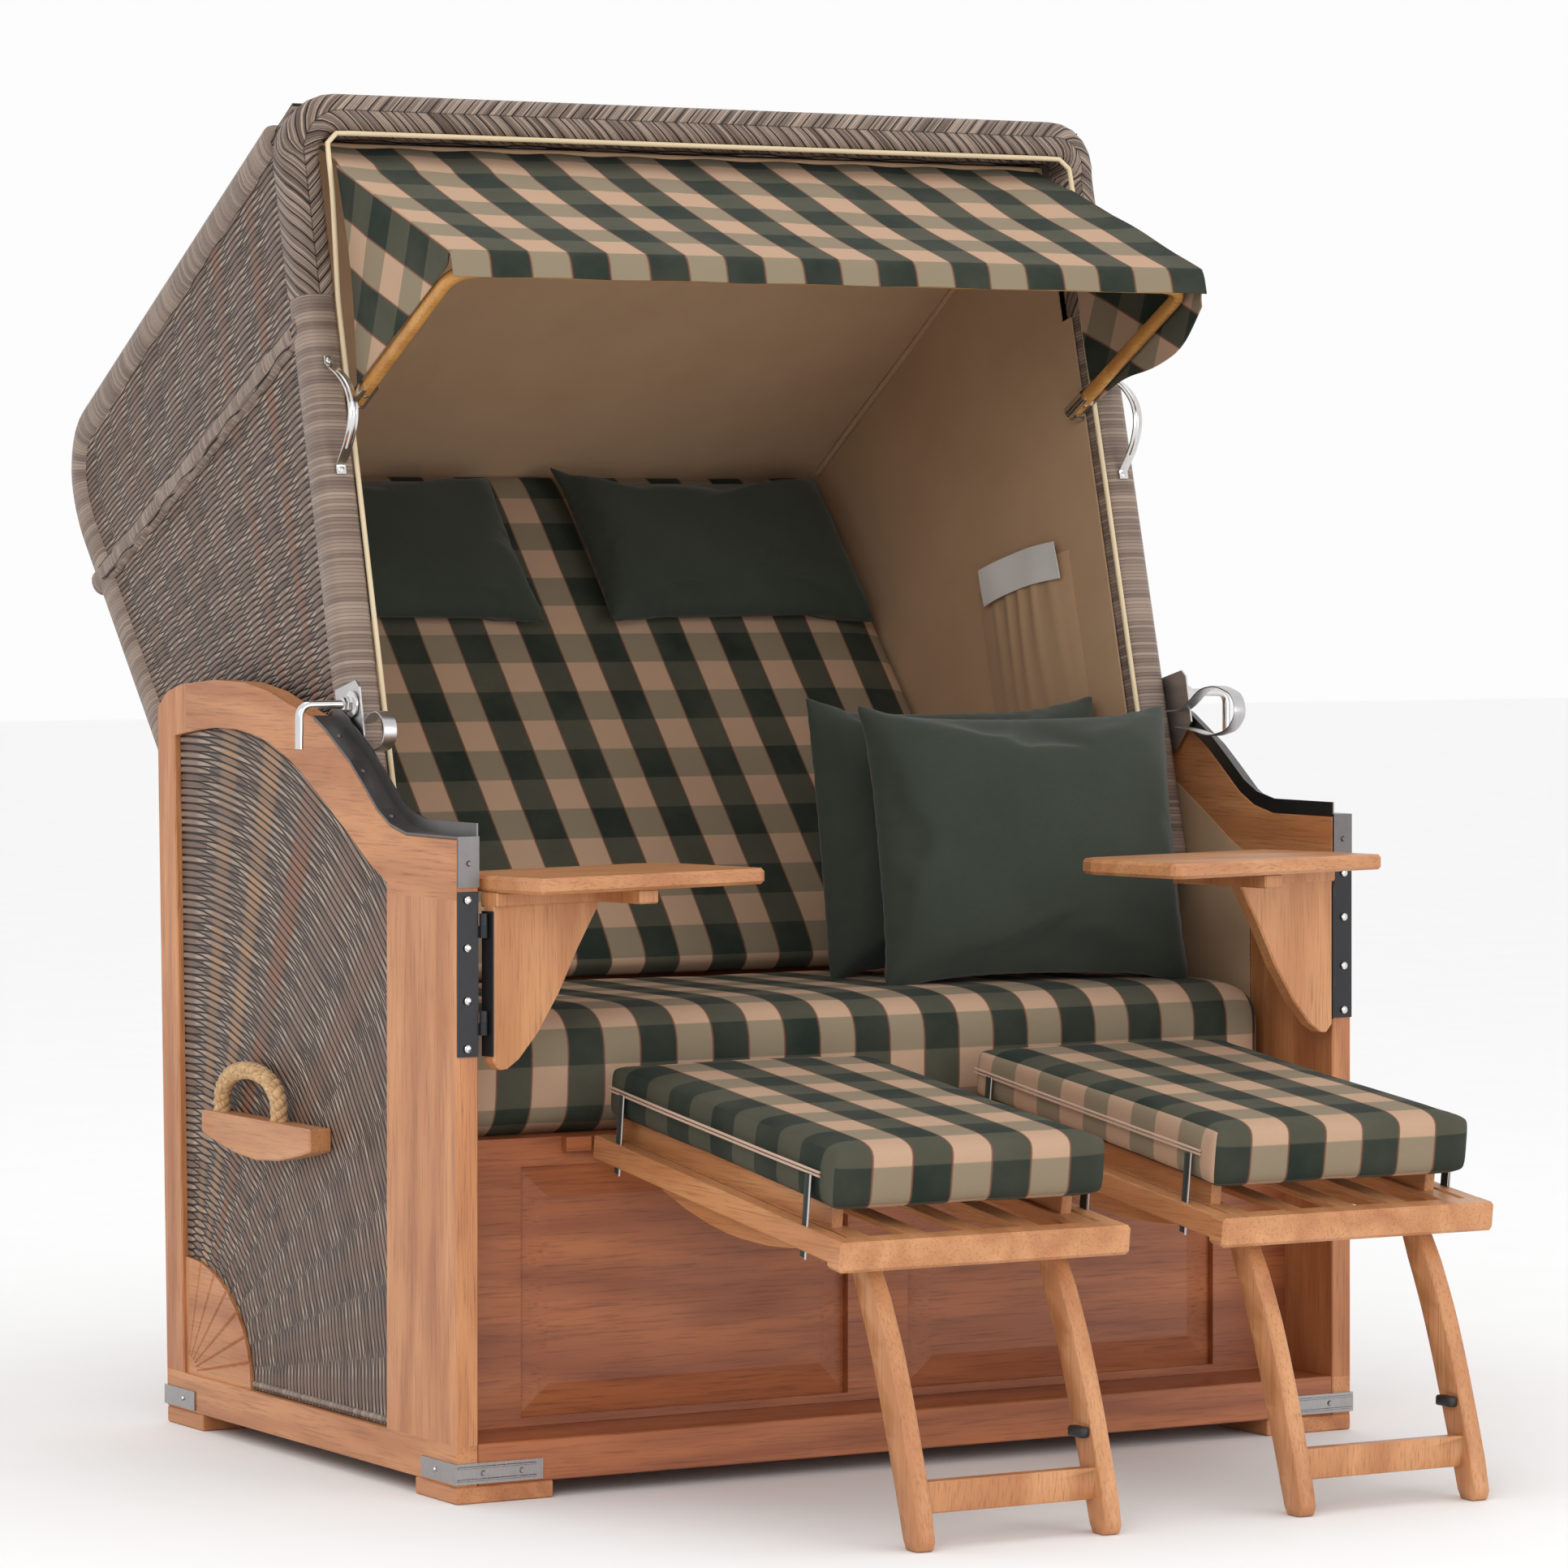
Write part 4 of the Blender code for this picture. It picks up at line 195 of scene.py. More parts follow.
# shared effects
def makeGroups():
    # over-and-under strands round upright staves: x counts staves, y counts strands
    tree, given, out = group("woven strands", [("Pattern", "Vector", None), ("Open", "Float", 0.36)],
                             [("Height", "Float"), ("Tone", "Float"), ("Front", "Float")])
    axes = split(tree, given["Pattern"])
    swing = calc(tree, "COSINE", times(tree, axes[0], math.pi))
    heights = []
    for sign, offset in ((1.0, 0.0), (-1.0, 1.0)):
        lift = times(tree, swing, sign)
        away = calc(tree, "PINGPONG", plus(tree, axes[1], offset), 1.0)
        wide = calc(tree, "MAXIMUM", calc(tree, "MULTIPLY_ADD", lift, 0.50, given["Open"]), 0.02)
        dome = minus(tree, 1.0, calc(tree, "POWER", calc(tree, "DIVIDE", away, wide), 2.0))
        shown = calc(tree, "MAXIMUM", dome, 0.0)
        lifted = calc(tree, "MULTIPLY_ADD", lift, 0.30, 0.70)
        heights.append(times(tree, calc(tree, "POWER", shown, 0.5), lifted))
    top = calc(tree, "MAXIMUM", heights[0], heights[1])
    tree.links.new(top, out["Height"])
    row = calc(tree, "FLOOR", plus(tree, axes[1], 0.5))
    stave = calc(tree, "FLOOR", plus(tree, axes[0], 0.5))
    pick = put(tree, "ShaderNodeTexWhiteNoise", {0: join(tree, row, times(tree, stave, 0.37))},
               noise_dimensions="3D").outputs[0]
    tree.links.new(pick, out["Tone"])
    tree.links.new(calc(tree, "ABSOLUTE", swing), out["Front"])

    # strands wound round a roll: x runs along it in strands, y round it
    tree, given, out = group("wound strands", [("Pattern", "Vector", None)],
                             [("Height", "Float"), ("Tone", "Float")])
    axes = split(tree, given["Pattern"])
    away = calc(tree, "PINGPONG", axes[0], 0.5)
    dome = domed(tree, away, 1.9)
    tree.links.new(dome, out["Height"])
    row = calc(tree, "FLOOR", plus(tree, axes[0], 0.5))
    pick = put(tree, "ShaderNodeTexWhiteNoise", {1: row}, noise_dimensions="1D").outputs[0]
    slow = noise(tree, stretch(tree, (row, axes[1]), (0.21, 3.0)), 1.0)
    tree.links.new(calc(tree, "MULTIPLY_ADD", pick, 0.55, times(tree, slow, 0.45)), out["Tone"])

    # herringbone plait: x along it in metres, y across the front in metres from its middle line
    tree, given, out = group("plaited strands",
                             [("Pattern", "Vector", None), ("Strand", "Float", 0.005), ("Set", "Float", 4.0)],
                             [("Height", "Float"), ("Tone", "Float")])
    axes = split(tree, given["Pattern"])
    off = calc(tree, "ABSOLUTE", axes[1])
    along = calc(tree, "DIVIDE", minus(tree, axes[0], off), given["Strand"])
    away = calc(tree, "PINGPONG", along, 0.5)
    dome = domed(tree, away, 1.8)
    inSet = calc(tree, "PINGPONG", calc(tree, "DIVIDE", plus(tree, along, 0.5), given["Set"]), 0.5)
    edge = spread(tree, inSet, 0.02, 0.14, 0.0, 1.0, smooth=True)
    middle = spread(tree, off, 0.0, 0.0016, 0.25, 1.0, smooth=True)
    tree.links.new(times(tree, times(tree, dome, edge), middle), out["Height"])
    row = calc(tree, "FLOOR", plus(tree, along, 0.5))
    side = calc(tree, "GREATER_THAN", axes[1], 0.0)
    pick = put(tree, "ShaderNodeTexWhiteNoise", {0: join(tree, row, side)}, noise_dimensions="3D").outputs[0]
    tree.links.new(pick, out["Tone"])

    # wood grain: the pattern's x runs along the fibres, in metres
    tree, given, out = group("wood grain", [("Pattern", "Vector", None), ("Seed", "Float", 0.0)],
                             [("Figure", "Float"), ("Fibre", "Float"), ("Patch", "Float")])
    axes = split(tree, given["Pattern"])
    bend = noise(tree, stretch(tree, axes, (1.4, 9.0, 9.0), given["Seed"]), 1.0, 3.0)
    rings = calc(tree, "MULTIPLY_ADD", bend, 26.0, times(tree, plus(tree, axes[1], axes[2]), 60.0))
    tree.links.new(calc(tree, "MULTIPLY_ADD", calc(tree, "SINE", rings), 0.5, 0.5), out["Figure"])
    tree.links.new(noise(tree, stretch(tree, axes, (14.0, 420.0, 420.0)), 1.0, 3.0, 0.65), out["Fibre"])
    tree.links.new(noise(tree, stretch(tree, axes, (3.0, 20.0, 20.0), given["Seed"]), 1.0, 2.0), out["Patch"])

    # checked cloth: x and y in metres; warp stripes run along y
    tree, given, out = group("cloth checks", [("Pattern", "Vector", None), ("Stripe", "Float", 0.05),
                                              ("Band", "Float", 0.05)],
                             [("Warp", "Float"), ("Weft", "Float"), ("Edge", "Float")])
    axes = split(tree, given["Pattern"])
    warp = calc(tree, "PINGPONG", calc(tree, "DIVIDE", axes[0], given["Stripe"]), 1.0)
    weft = calc(tree, "PINGPONG", calc(tree, "DIVIDE", axes[1], given["Band"]), 1.0)
    tree.links.new(spread(tree, warp, 0.485, 0.515), out["Warp"])
    tree.links.new(spread(tree, weft, 0.485, 0.515), out["Weft"])
    line = calc(tree, "ABSOLUTE", minus(tree, warp, 0.5))
    tree.links.new(spread(tree, line, 0.015, 0.035, 1.0, 0.0), out["Edge"])

    # threads of a plain weave, and soft blotches from handling
    tree, given, out = group("cloth threads", [("Pattern", "Vector", None), ("Thread", "Float", 0.0009)],
                             [("Height", "Float"), ("Blotch", "Float")])
    axes = split(tree, given["Pattern"])
    turns = [times(tree, calc(tree, "DIVIDE", axis, given["Thread"]), math.pi) for axis in axes[:2]]
    tree.links.new(times(tree, *(calc(tree, "SINE", turn) for turn in turns)), out["Height"])
    tree.links.new(noise(tree, given["Pattern"], 7.0, 4.0, 0.6), out["Blotch"])

    # wear and dust that gather unevenly
    tree, given, out = group("light wear", [("Place", "Vector", None), ("Size", "Float", 12.0)],
                             [("Mask", "Float")])
    uneven = noise(tree, given["Place"], given["Size"], 5.0, 0.7)
    tree.links.new(spread(tree, uneven, 0.45, 0.75, smooth=True), out["Mask"])


makeGroups()
looks = {}


# oiled wood: paler on new cuts, redder along the figure
woodTones = {
    "side": {"pale": (0.620, 0.275, 0.112), "deep": (0.370, 0.125, 0.040), "rough": 0.42},
    "warm": {"pale": (0.480, 0.160, 0.056), "deep": (0.255, 0.070, 0.026), "rough": 0.38},
    "light": {"pale": (0.640, 0.310, 0.135), "deep": (0.430, 0.165, 0.060), "rough": 0.40},
    "bow": {"pale": (0.620, 0.310, 0.080), "deep": (0.420, 0.170, 0.040), "rough": 0.30},
}


def makeWood(name, tone, along, seed=0.0, upright=None):
    made, tree, shader = newFinish(name, {"Coat Weight": 0.12, "Coat Roughness": 0.35,
                                          "Specular IOR Level": 0.45})
    place = placeOf(tree)
    axes = split(tree, place)
    order = {"X": (0, 1, 2), "Y": (1, 0, 2), "Z": (2, 0, 1)}[along]
    pattern = join(tree, *(axes[i] for i in order))
    if upright:                      # posts of the side frames stand, the arch and the rail lie
        inPost = calc(tree, "GREATER_THAN", axes[2], upright["low"])
        behind = calc(tree, "GREATER_THAN", axes[1], upright["rear"])
        before = times(tree, calc(tree, "LESS_THAN", axes[1], upright["front"]),
                      calc(tree, "LESS_THAN", axes[2], upright["high"]))
        mask = times(tree, inPost, calc(tree, "MAXIMUM", behind, before))
        standing = join(tree, axes[2], axes[0], plus(tree, axes[1], 0.37))
        pattern = put(tree, "ShaderNodeMix", {0: mask, 4: pattern, 5: standing}, data_type="VECTOR").outputs[1]
    grain = use(tree, "wood grain", Pattern=pattern, Seed=seed)
    tones = woodTones[tone]
    patch = spread(tree, grain["Patch"], 0.30, 0.72)
    mix = calc(tree, "MULTIPLY_ADD", grain["Figure"], 0.38, times(tree, patch, 0.62), clamp=True)
    colour = tint(tree, mix, tones["pale"], tones["deep"])
    dark = tuple(c * 0.55 for c in tones["deep"])
    colour = tint(tree, spread(tree, grain["Fibre"], 0.50, 0.74, 0.0, 0.70), colour, dark)
    wear = use(tree, "light wear", Place=place, Size=9.0)["Mask"]
    rough = spread(tree, wear, 0.0, 1.0, tones["rough"], tones["rough"] + 0.16)
    dress(tree, shader, colour, rough, grain["Fibre"], 0.25, 0.0006)
    looks[name] = made


makeWood("side wood", "side", "Y", 1.0, {"low": 0.0672, "high": 0.700, "front": -0.1413, "rear": 0.428})
makeWood("panel wood", "warm", "X", 4.0)
makeWood("arm wood", "side", "Z", 8.0)
makeWood("tray wood", "light", "X", 2.0)
makeWood("wing wood", "light", "Z", 6.0)
makeWood("rest wood", "light", "Y", 3.0)
makeWood("leg wood", "light", "Z", 5.0)
makeWood("bow wood", "bow", "X", 7.0)
makeWood("rope block wood", "light", "Y", 9.0)

# woven strands
# gap is painted shade: near-black laid into the hollows between strands, where shade falls
strandTones = {"pale": (0.420, 0.320, 0.255), "deep": (0.120, 0.078, 0.060), "gap": (0.010, 0.007, 0.006),
               "stave": (0.150, 0.090, 0.068), "copper": (0.300, 0.120, 0.062), "tan": (0.480, 0.270, 0.130)}


def makeWeave(name, accents):
    made, tree, shader = newFinish(name, {"Roughness": 0.45, "Specular IOR Level": 0.25})
    pattern = patternOf(tree)
    weave = use(tree, "woven strands", Pattern=pattern)
    axes = split(tree, pattern)
    colour = tint(tree, weave["Tone"], strandTones["deep"], strandTones["pale"])
    overStave = spread(tree, weave["Front"], 0.60, 0.95, 0.0, 0.6, smooth=True)
    colour = tint(tree, overStave, colour, strandTones["stave"])
    drift = noise(tree, stretch(tree, axes, (0.9, 0.02)), 1.0)
    for place, width, key, amount in accents:         # staves in other tones
        near = calc(tree, "ABSOLUTE", minus(tree, axes[0], place))
        mask = spread(tree, near, width * 0.6, width, amount, 0.0, smooth=True)
        fade = spread(tree, noise(tree, join(tree, place, times(tree, axes[1], 0.05)), 1.0), 0.30, 0.55)
        ladder = spread(tree, weave["Tone"], 0.0, 1.0, 0.45, 1.0)
        share = times(tree, times(tree, mask, fade), ladder)
        colour = tint(tree, share, colour, strandTones[key])
    colour = tint(tree, spread(tree, drift, 0.45, 0.75, 0.0, 0.16), colour, strandTones["copper"])
    # painted shade: the lower a spot lies between strands, the nearer it is darkened to near-black
    colour = tint(tree, spread(tree, weave["Height"], 0.22, 0.66, 1.0, 0.0), colour, strandTones["gap"])
    rough = spread(tree, weave["Tone"], 0.0, 1.0, 0.36, 0.55)
    dress(tree, shader, colour, rough, weave["Height"], 0.9, 0.0022)
    looks[name] = made


makeWeave("base weave", [(1.0, 0.26, "tan", 0.55), (2.0, 0.26, "tan", 0.75), (3.0, 0.28, "copper", 0.85),
                         (5.0, 0.26, "copper", 0.25)])
makeWeave("hood weave", [(2.0, 0.26, "copper", 0.55), (4.0, 0.26, "copper", 0.40)])


def makeRoll(name, effect, pitch, strength=0.8, twist=0.0):
    made, tree, shader = newFinish(name, {"Roughness": 0.4, "Specular IOR Level": 0.3})
    pattern = patternOf(tree)
    axes = split(tree, pattern)
    if effect == "plaited strands":
        strands = use(tree, effect, Pattern=pattern, Strand=pitch, Set=4.0)
    else:
        along = plus(tree, calc(tree, "DIVIDE", axes[0], pitch), times(tree, axes[1], twist))
        strands = use(tree, effect, Pattern=join(tree, along, axes[1]))
    colour = tint(tree, strands["Tone"], strandTones["deep"], strandTones["pale"])
    # painted shade: the grooves between strands are darkened towards near-black by their depth
    colour = tint(tree, spread(tree, strands["Height"], 0.05, 0.60, 1.0, 0.0), colour, strandTones["gap"])
    rough = spread(tree, strands["Tone"], 0.0, 1.0, 0.34, 0.5)
    dress(tree, shader, colour, rough, strands["Height"], strength, 0.0015)
    looks[name] = made


makeRoll("wound roll", "wound strands", 0.0046)
makeRoll("plaited roll", "plaited strands", 0.0042, 1.0)
makeRoll("twisted edge", "wound strands", 0.011, 1.0, 2.0)

# cloth
clothTones = {"green": (0.019, 0.028, 0.021), "olive": (0.066, 0.066, 0.046), "taupe": (0.262, 0.208, 0.138),
              "beige": (0.500, 0.325, 0.218), "line": (0.170, 0.062, 0.040)}


def makeCheck(name, stripe=0.05, band=0.05, shift=0.0):
    made, tree, shader = newFinish(name, {"Roughness": 0.92, "Specular IOR Level": 0.12, "Sheen Weight": 0.03,
                                          "Sheen Roughness": 0.5})
    pattern = patternOf(tree)
    axes = split(tree, pattern)
    moved = join(tree, plus(tree, axes[0], shift), axes[1])
    checks = use(tree, "cloth checks", Pattern=moved, Stripe=stripe, Band=band)
    dark = tint(tree, checks["Weft"], clothTones["green"], clothTones["olive"])
    light = tint(tree, checks["Weft"], clothTones["taupe"], clothTones["beige"])
    colour = tint(tree, checks["Warp"], dark, light)
    colour = tint(tree, times(tree, checks["Edge"], 0.75), colour, clothTones["line"])
    threads = use(tree, "cloth threads", Pattern=pattern, Thread=0.0011)
    colour = tint(tree, spread(tree, threads["Blotch"], 0.35, 0.7, 0.0, 0.10), colour, (0.30, 0.27, 0.2))
    dress(tree, shader, colour, None, threads["Height"], 0.25, 0.0004)
    looks[name] = made


def makeCloth(name, colour, blotch, sheen):
    made, tree, shader = newFinish(name, {"Roughness": 0.9, "Specular IOR Level": 0.2, "Sheen Weight": sheen,
                                          "Sheen Roughness": 0.5})
    pattern = patternOf(tree)
    threads = use(tree, "cloth threads", Pattern=pattern, Thread=0.0010)
    shade = tint(tree, spread(tree, threads["Blotch"], 0.3, 0.75, 0.0, 1.0), colour, blotch)
    dress(tree, shader, shade, None, threads["Height"], 0.22, 0.0004)
    looks[name] = made


makeCheck("seat check")
makeCheck("back check", shift=0.012)
makeCheck("rest check", 0.0525, 0.0525, 0.0525)
makeCheck("awning check", 0.054, 0.054, 0.0275)
makeCloth("green cloth", (0.033, 0.042, 0.031), (0.043, 0.053, 0.039), 0.16)
makeCloth("beige lining", (0.510, 0.325, 0.190), (0.560, 0.365, 0.220), 0.1)
makeCloth("pale piping", (0.780, 0.640, 0.430), (0.700, 0.560, 0.360), 0.1)
makeCloth("zip tape", (0.600, 0.420, 0.320), (0.520, 0.360, 0.260), 0.1)
makeCloth("bare label", (0.820, 0.810, 0.790), (0.780, 0.765, 0.740), 0.05)
makeCloth("dark webbing", (0.024, 0.032, 0.027), (0.034, 0.042, 0.034), 0.1)


# metal, plastic and rope
def makeMetal(name, colour, rough, metal=1.0, strength=0.05):
    made, tree, shader = newFinish(name, {"Metallic": metal, "Base Color": (*colour, 1.0)})
    place = placeOf(tree)
    wear = use(tree, "light wear", Place=place, Size=40.0)["Mask"]
    drawn = put(tree, "ShaderNodeVectorMath", {0: place, 1: (900.0, 60.0, 60.0)}, operation="MULTIPLY")
    scratch = noise(tree, drawn.outputs[0], 1.0, 2.0)
    shade = tint(tree, times(tree, wear, 0.4), colour, tuple(c * 0.72 for c in colour))
    dress(tree, shader, shade, calc(tree, "MULTIPLY_ADD", scratch, 0.14, rough), scratch, strength, 0.0002)
    looks[name] = made


makeMetal("bright steel", (0.70, 0.69, 0.68), 0.12)
makeMetal("brushed steel", (0.56, 0.55, 0.55), 0.28)
makeMetal("dull steel", (0.16, 0.15, 0.15), 0.30)
makeMetal("bracket steel", (0.38, 0.37, 0.37), 0.20)
makeMetal("black steel", (0.030, 0.030, 0.034), 0.35, 0.6)
makeMetal("black plastic", (0.018, 0.018, 0.019), 0.42, 0.0, 0.1)


def makeRope():
    made, tree, shader = newFinish("laid rope", {"Roughness": 0.85, "Specular IOR Level": 0.25,
                                                 "Sheen Weight": 0.15})
    pattern = patternOf(tree)
    axes = split(tree, pattern)
    slant = calc(tree, "MULTIPLY_ADD", axes[1], 40.0, times(tree, axes[0], 160.0))
    fibre = noise(tree, join(tree, slant, times(tree, axes[1], 12.0)), 3.0, 3.0, 0.7)
    colour = tint(tree, spread(tree, fibre, 0.3, 0.7), (0.330, 0.175, 0.075), (0.780, 0.520, 0.270))
    dress(tree, shader, colour, None, fibre, 0.6, 0.0008)
    looks["laid rope"] = made


makeRope()
print("stage: materials")


# places and joints, as the frame has them
hoodPlace = Matrix.Translation((0.0, 0.32923, 0.17)) @ Matrix.Rotation(math.radians(-14.5), 4, "X")
awningPlace = hoodPlace @ Matrix.Translation((0.0, -0.445, 1.038))
restPlaces = {tag: Matrix.Translation((x, -0.23877, 0.397)) @ Matrix.Rotation(math.radians(7.2), 4, "X")
              for tag, x in (("left", -0.213), ("right", 0.297))}
worldPlace = Matrix.Identity(4)
sides = (("left", -1), ("right", 1))
upX, upY, upZ = Vector((1, 0, 0)), Vector((0, 1, 0)), Vector((0, 0, 1))


# mesh helpers
def newWork():
    work = bmesh.new()
    work.loops.layers.uv.new("pattern")
    return work


def piece(name, work, look, body, place=worldPlace, stands=(), sharp=40.0):
    if place != worldPlace:
        work.transform(place)
    data = bpy.data.meshes.new(name)
    work.to_mesh(data)
    work.free()
    made = bpy.data.objects.new(name, data)
    bpy.context.scene.collection.objects.link(made)
    for each in [look] if isinstance(look, str) else look:
        data.materials.append(looks[each])
    data.shade_smooth()
    if sharp < 180:
        data.set_sharp_from_angle(angle=math.radians(sharp))
    if body:
        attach(made, body)
    if stands:
        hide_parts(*stands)
    return made


def rounded(points, radius, steps=6):
    points = [Vector(point) for point in points]
    made = [points[0]]
    for before, here, after in zip(points, points[1:], points[2:]):
        one, two = before - here, after - here
        cut = min(radius, one.length * 0.45, two.length * 0.45)
        start, end = here + one.normalized() * cut, here + two.normalized() * cut
        for i in range(steps + 1):
            t = i / steps
            made.append(start.lerp(here, t).lerp(here.lerp(end, t), t))
    made.append(points[-1])
    return made


def evenly(points, step):
    points = [Vector(point) for point in points]
    lengths = [0.0]
    for one, two in zip(points, points[1:]):
        lengths.append(lengths[-1] + (two - one).length)
    count = max(2, round(lengths[-1] / step))
    made, j = [], 0
    for i in range(count + 1):
        at = lengths[-1] * i / count
        while j < len(points) - 2 and lengths[j + 1] < at:
            j += 1
        share = (at - lengths[j]) / max(lengths[j + 1] - lengths[j], 1e-9)
        made.append(points[j].lerp(points[j + 1], min(share, 1.0)))
    return made, lengths[-1]


def superRing(wide, high, power=2.0, count=16):
    ring = []
    for i in range(count):
        angle = 2 * math.pi * i / count
        a, b = math.cos(angle), math.sin(angle)
        across, up = abs(a) ** (2 / power), abs(b) ** (2 / power)
        ring.append((wide * math.copysign(across, a), high * math.copysign(up, b)))
    return ring


def roundRing(radius, power, count):
    return superRing(radius, radius, power, count)


def wayAt(points, i):
    return (points[min(i + 1, len(points) - 1)] - points[max(i - 1, 0)]).normalized()


def addSweep(work, path, ring, up, step=0.02):
    layer = work.loops.layers.uv["pattern"]
    points, total = evenly(path, step)
    count, around = len(ring), [0.0]
    for i in range(count):
        one, two = Vector(ring[i]), Vector(ring[(i + 1) % count])
        around.append(around[-1] + (two - one).length)
    rows = []
    for i, here in enumerate(points):
        way = wayAt(points, i)
        side = (up - way * up.dot(way)).normalized()
        other = way.cross(side)
        rows.append([work.verts.new(here + side * a + other * b) for a, b in ring])
    half = count // 2
    for i in range(len(rows) - 1):
        low, high = total * i / (len(rows) - 1), total * (i + 1) / (len(rows) - 1)
        for j in range(count):
            k = (j + 1) % count
            face = work.faces.new((rows[i][j], rows[i][k], rows[i + 1][k], rows[i + 1][j]))
            back = 0.0 if j < half else around[-1]
            one, two = around[j] - back, around[j + 1] - back
            for loop, spot in zip(face.loops, ((low, one), (low, two), (high, two), (high, one))):
                loop[layer].uv = spot
    work.faces.new(rows[0][::-1])
    work.faces.new(rows[-1])


def addTurned(work, start, way, profile, count=24):
    way = Vector(way).normalized()
    side = way.orthogonal().normalized()
    other = way.cross(side)
    rings = []
    for reach, radius in profile:
        middle = Vector(start) + way * reach
        turns = [2 * math.pi * i / count for i in range(count)]
        rings.append([work.verts.new(middle + (side * math.cos(turn) + other * math.sin(turn)) * radius)
                      for turn in turns])
    for one, two in zip(rings, rings[1:]):
        for i in range(count):
            k = (i + 1) % count
            work.faces.new((one[i], one[k], two[k], two[i]))
    work.faces.new(rings[0][::-1])
    work.faces.new(rings[-1])


def addGrid(work, columns, rows, spot, pattern):
    layer = work.loops.layers.uv["pattern"]
    verts = [[work.verts.new(spot(i / columns, j / rows)) for i in range(columns + 1)]
             for j in range(rows + 1)]
    for j in range(rows):
        for i in range(columns):
            corners = ((i, j), (i + 1, j), (i + 1, j + 1), (i, j + 1))
            face = work.faces.new([verts[b][a] for a, b in corners])
            for loop, (a, b) in zip(face.loops, corners):
                loop[layer].uv = pattern(a / columns, b / rows)
    return verts


def addScrew(work, spot, way, radius=0.0045):
    spot, way = Vector(spot), Vector(way).normalized()
    profile = [(-0.0005, radius), (0.0004, radius), (0.0011, radius * 0.82), (0.0015, radius * 0.45)]
    addTurned(work, spot, way, profile, 14)
    slotSide = way.orthogonal().normalized()
    for turn in (0.0, 90.0):
        arm = slotSide.copy()
        arm.rotate(Matrix.Rotation(math.radians(turn + 20), 3, way))
        top = spot + way * 0.0014
        line = [top - arm * radius * 0.55, top + arm * radius * 0.55]
        addSweep(work, line, superRing(radius * 0.09, 0.0002, 4.0, 4), way.cross(arm), radius)


def bake(made):
    bpy.context.view_layer.update()
    graph = bpy.context.evaluated_depsgraph_get()
    shown = made.evaluated_get(graph)
    data = bpy.data.meshes.new_from_object(shown, preserve_all_data_layers=True, depsgraph=graph)
    made.modifiers.clear()
    made.data = data


def clothPiece(name, work, look, body, place, thick, stands=()):
    made = piece(name, work, look, None, place, (), 60)
    shell = made.modifiers.new("thickness", "SOLIDIFY")
    shell.thickness, shell.offset = thick, 0.0
    bake(made)
    made.data.set_sharp_from_angle(angle=math.radians(50))
    if body:
        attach(made, body)
    if stands:
        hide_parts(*stands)
    return made


def cutAt(work, axis, at):            # one straight cut across the whole mesh
    spot, way = Vector(), Vector()
    spot[axis], way[axis] = at, 1.0
    whole = work.verts[:] + work.edges[:] + work.faces[:]
    bmesh.ops.bisect_plane(work, geom=whole, dist=0.00001, plane_co=spot, plane_no=way)


def copyOf(node):
    work = bmesh.new()
    work.from_mesh(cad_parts[node].data)
    return work


def freshPattern(work):
    for old in list(work.loops.layers.uv.values()):
        work.loops.layers.uv.remove(old)
    return work.loops.layers.uv.new("pattern")


def sidePattern(work, layer):         # the pattern of cloth on an upright side
    for face in work.faces:
        for loop in face.loops:
            loop[layer].uv = (loop.vert.co.y, loop.vert.co.z)


def gridCopy(name, node, step, place, look, body, rule, relief=None):
    work = copyOf(node)
    bmesh.ops.remove_doubles(work, verts=work.verts[:], dist=0.00002)
    bmesh.ops.dissolve_limit(work, angle_limit=0.01, verts=work.verts[:], edges=work.edges[:])
    work.transform(place.inverted())
    for axis in (1, 2):
        low = min(vert.co[axis] for vert in work.verts)
        high = max(vert.co[axis] for vert in work.verts)
        for i in range(1, int((high - low) / step)):
            cutAt(work, axis, low + step * i)
    layer = freshPattern(work)
    work.normal_update()
    for face in work.faces:
        face.material_index = 0
        for loop in face.loops:
            loop[layer].uv = rule(loop.vert.co, face.normal)
    if relief:
        for vert in work.verts:
            vert.co += relief(vert.co, vert.normal)
    return piece(name, work, look, body, place, (node,), 30.0)


# woven walls
hoodFront, hoodLow = -0.448, 0.438
weaveValues = {"row": 0.0047, "staveTurn": 8.6, "fan": (0.434, 0.067), "staves": 12.5, "lean": 0.287,
               "run": 0.376, "rearSlope": 0.502, "bend": 1.09, "gauge": 0.056, "relief": 0.0012}


def fanPattern(co, normal):
    y, z = weaveValues["fan"][0] - co.y, co.z - weaveValues["fan"][1]
    turn = 90.0 - math.degrees(math.atan2(z, y))
    return turn / weaveValues["staveTurn"], math.hypot(y, z) / weaveValues["row"]


def wallPattern(co, normal):
    ahead = co.y - hoodFront
    rear = weaveValues["run"] + weaveValues["rearSlope"] * (min(co.z, weaveValues["bend"]) - hoodLow)
    height = (co.z - hoodLow) / (1.0 - weaveValues["lean"] * ahead)
    return weaveValues["staves"] * ahead / rear, height / weaveValues["row"]


def flatPattern(co, normal):
    if abs(normal.y) + abs(normal.z) < 0.5:
        return wallPattern(co, normal)
    along = co.y if abs(normal.z) > abs(normal.y) else co.z
    return co.x / weaveValues["gauge"], along / weaveValues["row"]


def staveRelief(rule, outward):
    def lift(co, normal):
        if normal.dot(outward) < 0.9:
            return Vector()
        stave = rule(co, normal)[0]
        return outward * (weaveValues["relief"] * (math.cos(2 * math.pi * stave) - 1) / 2)
    return lift


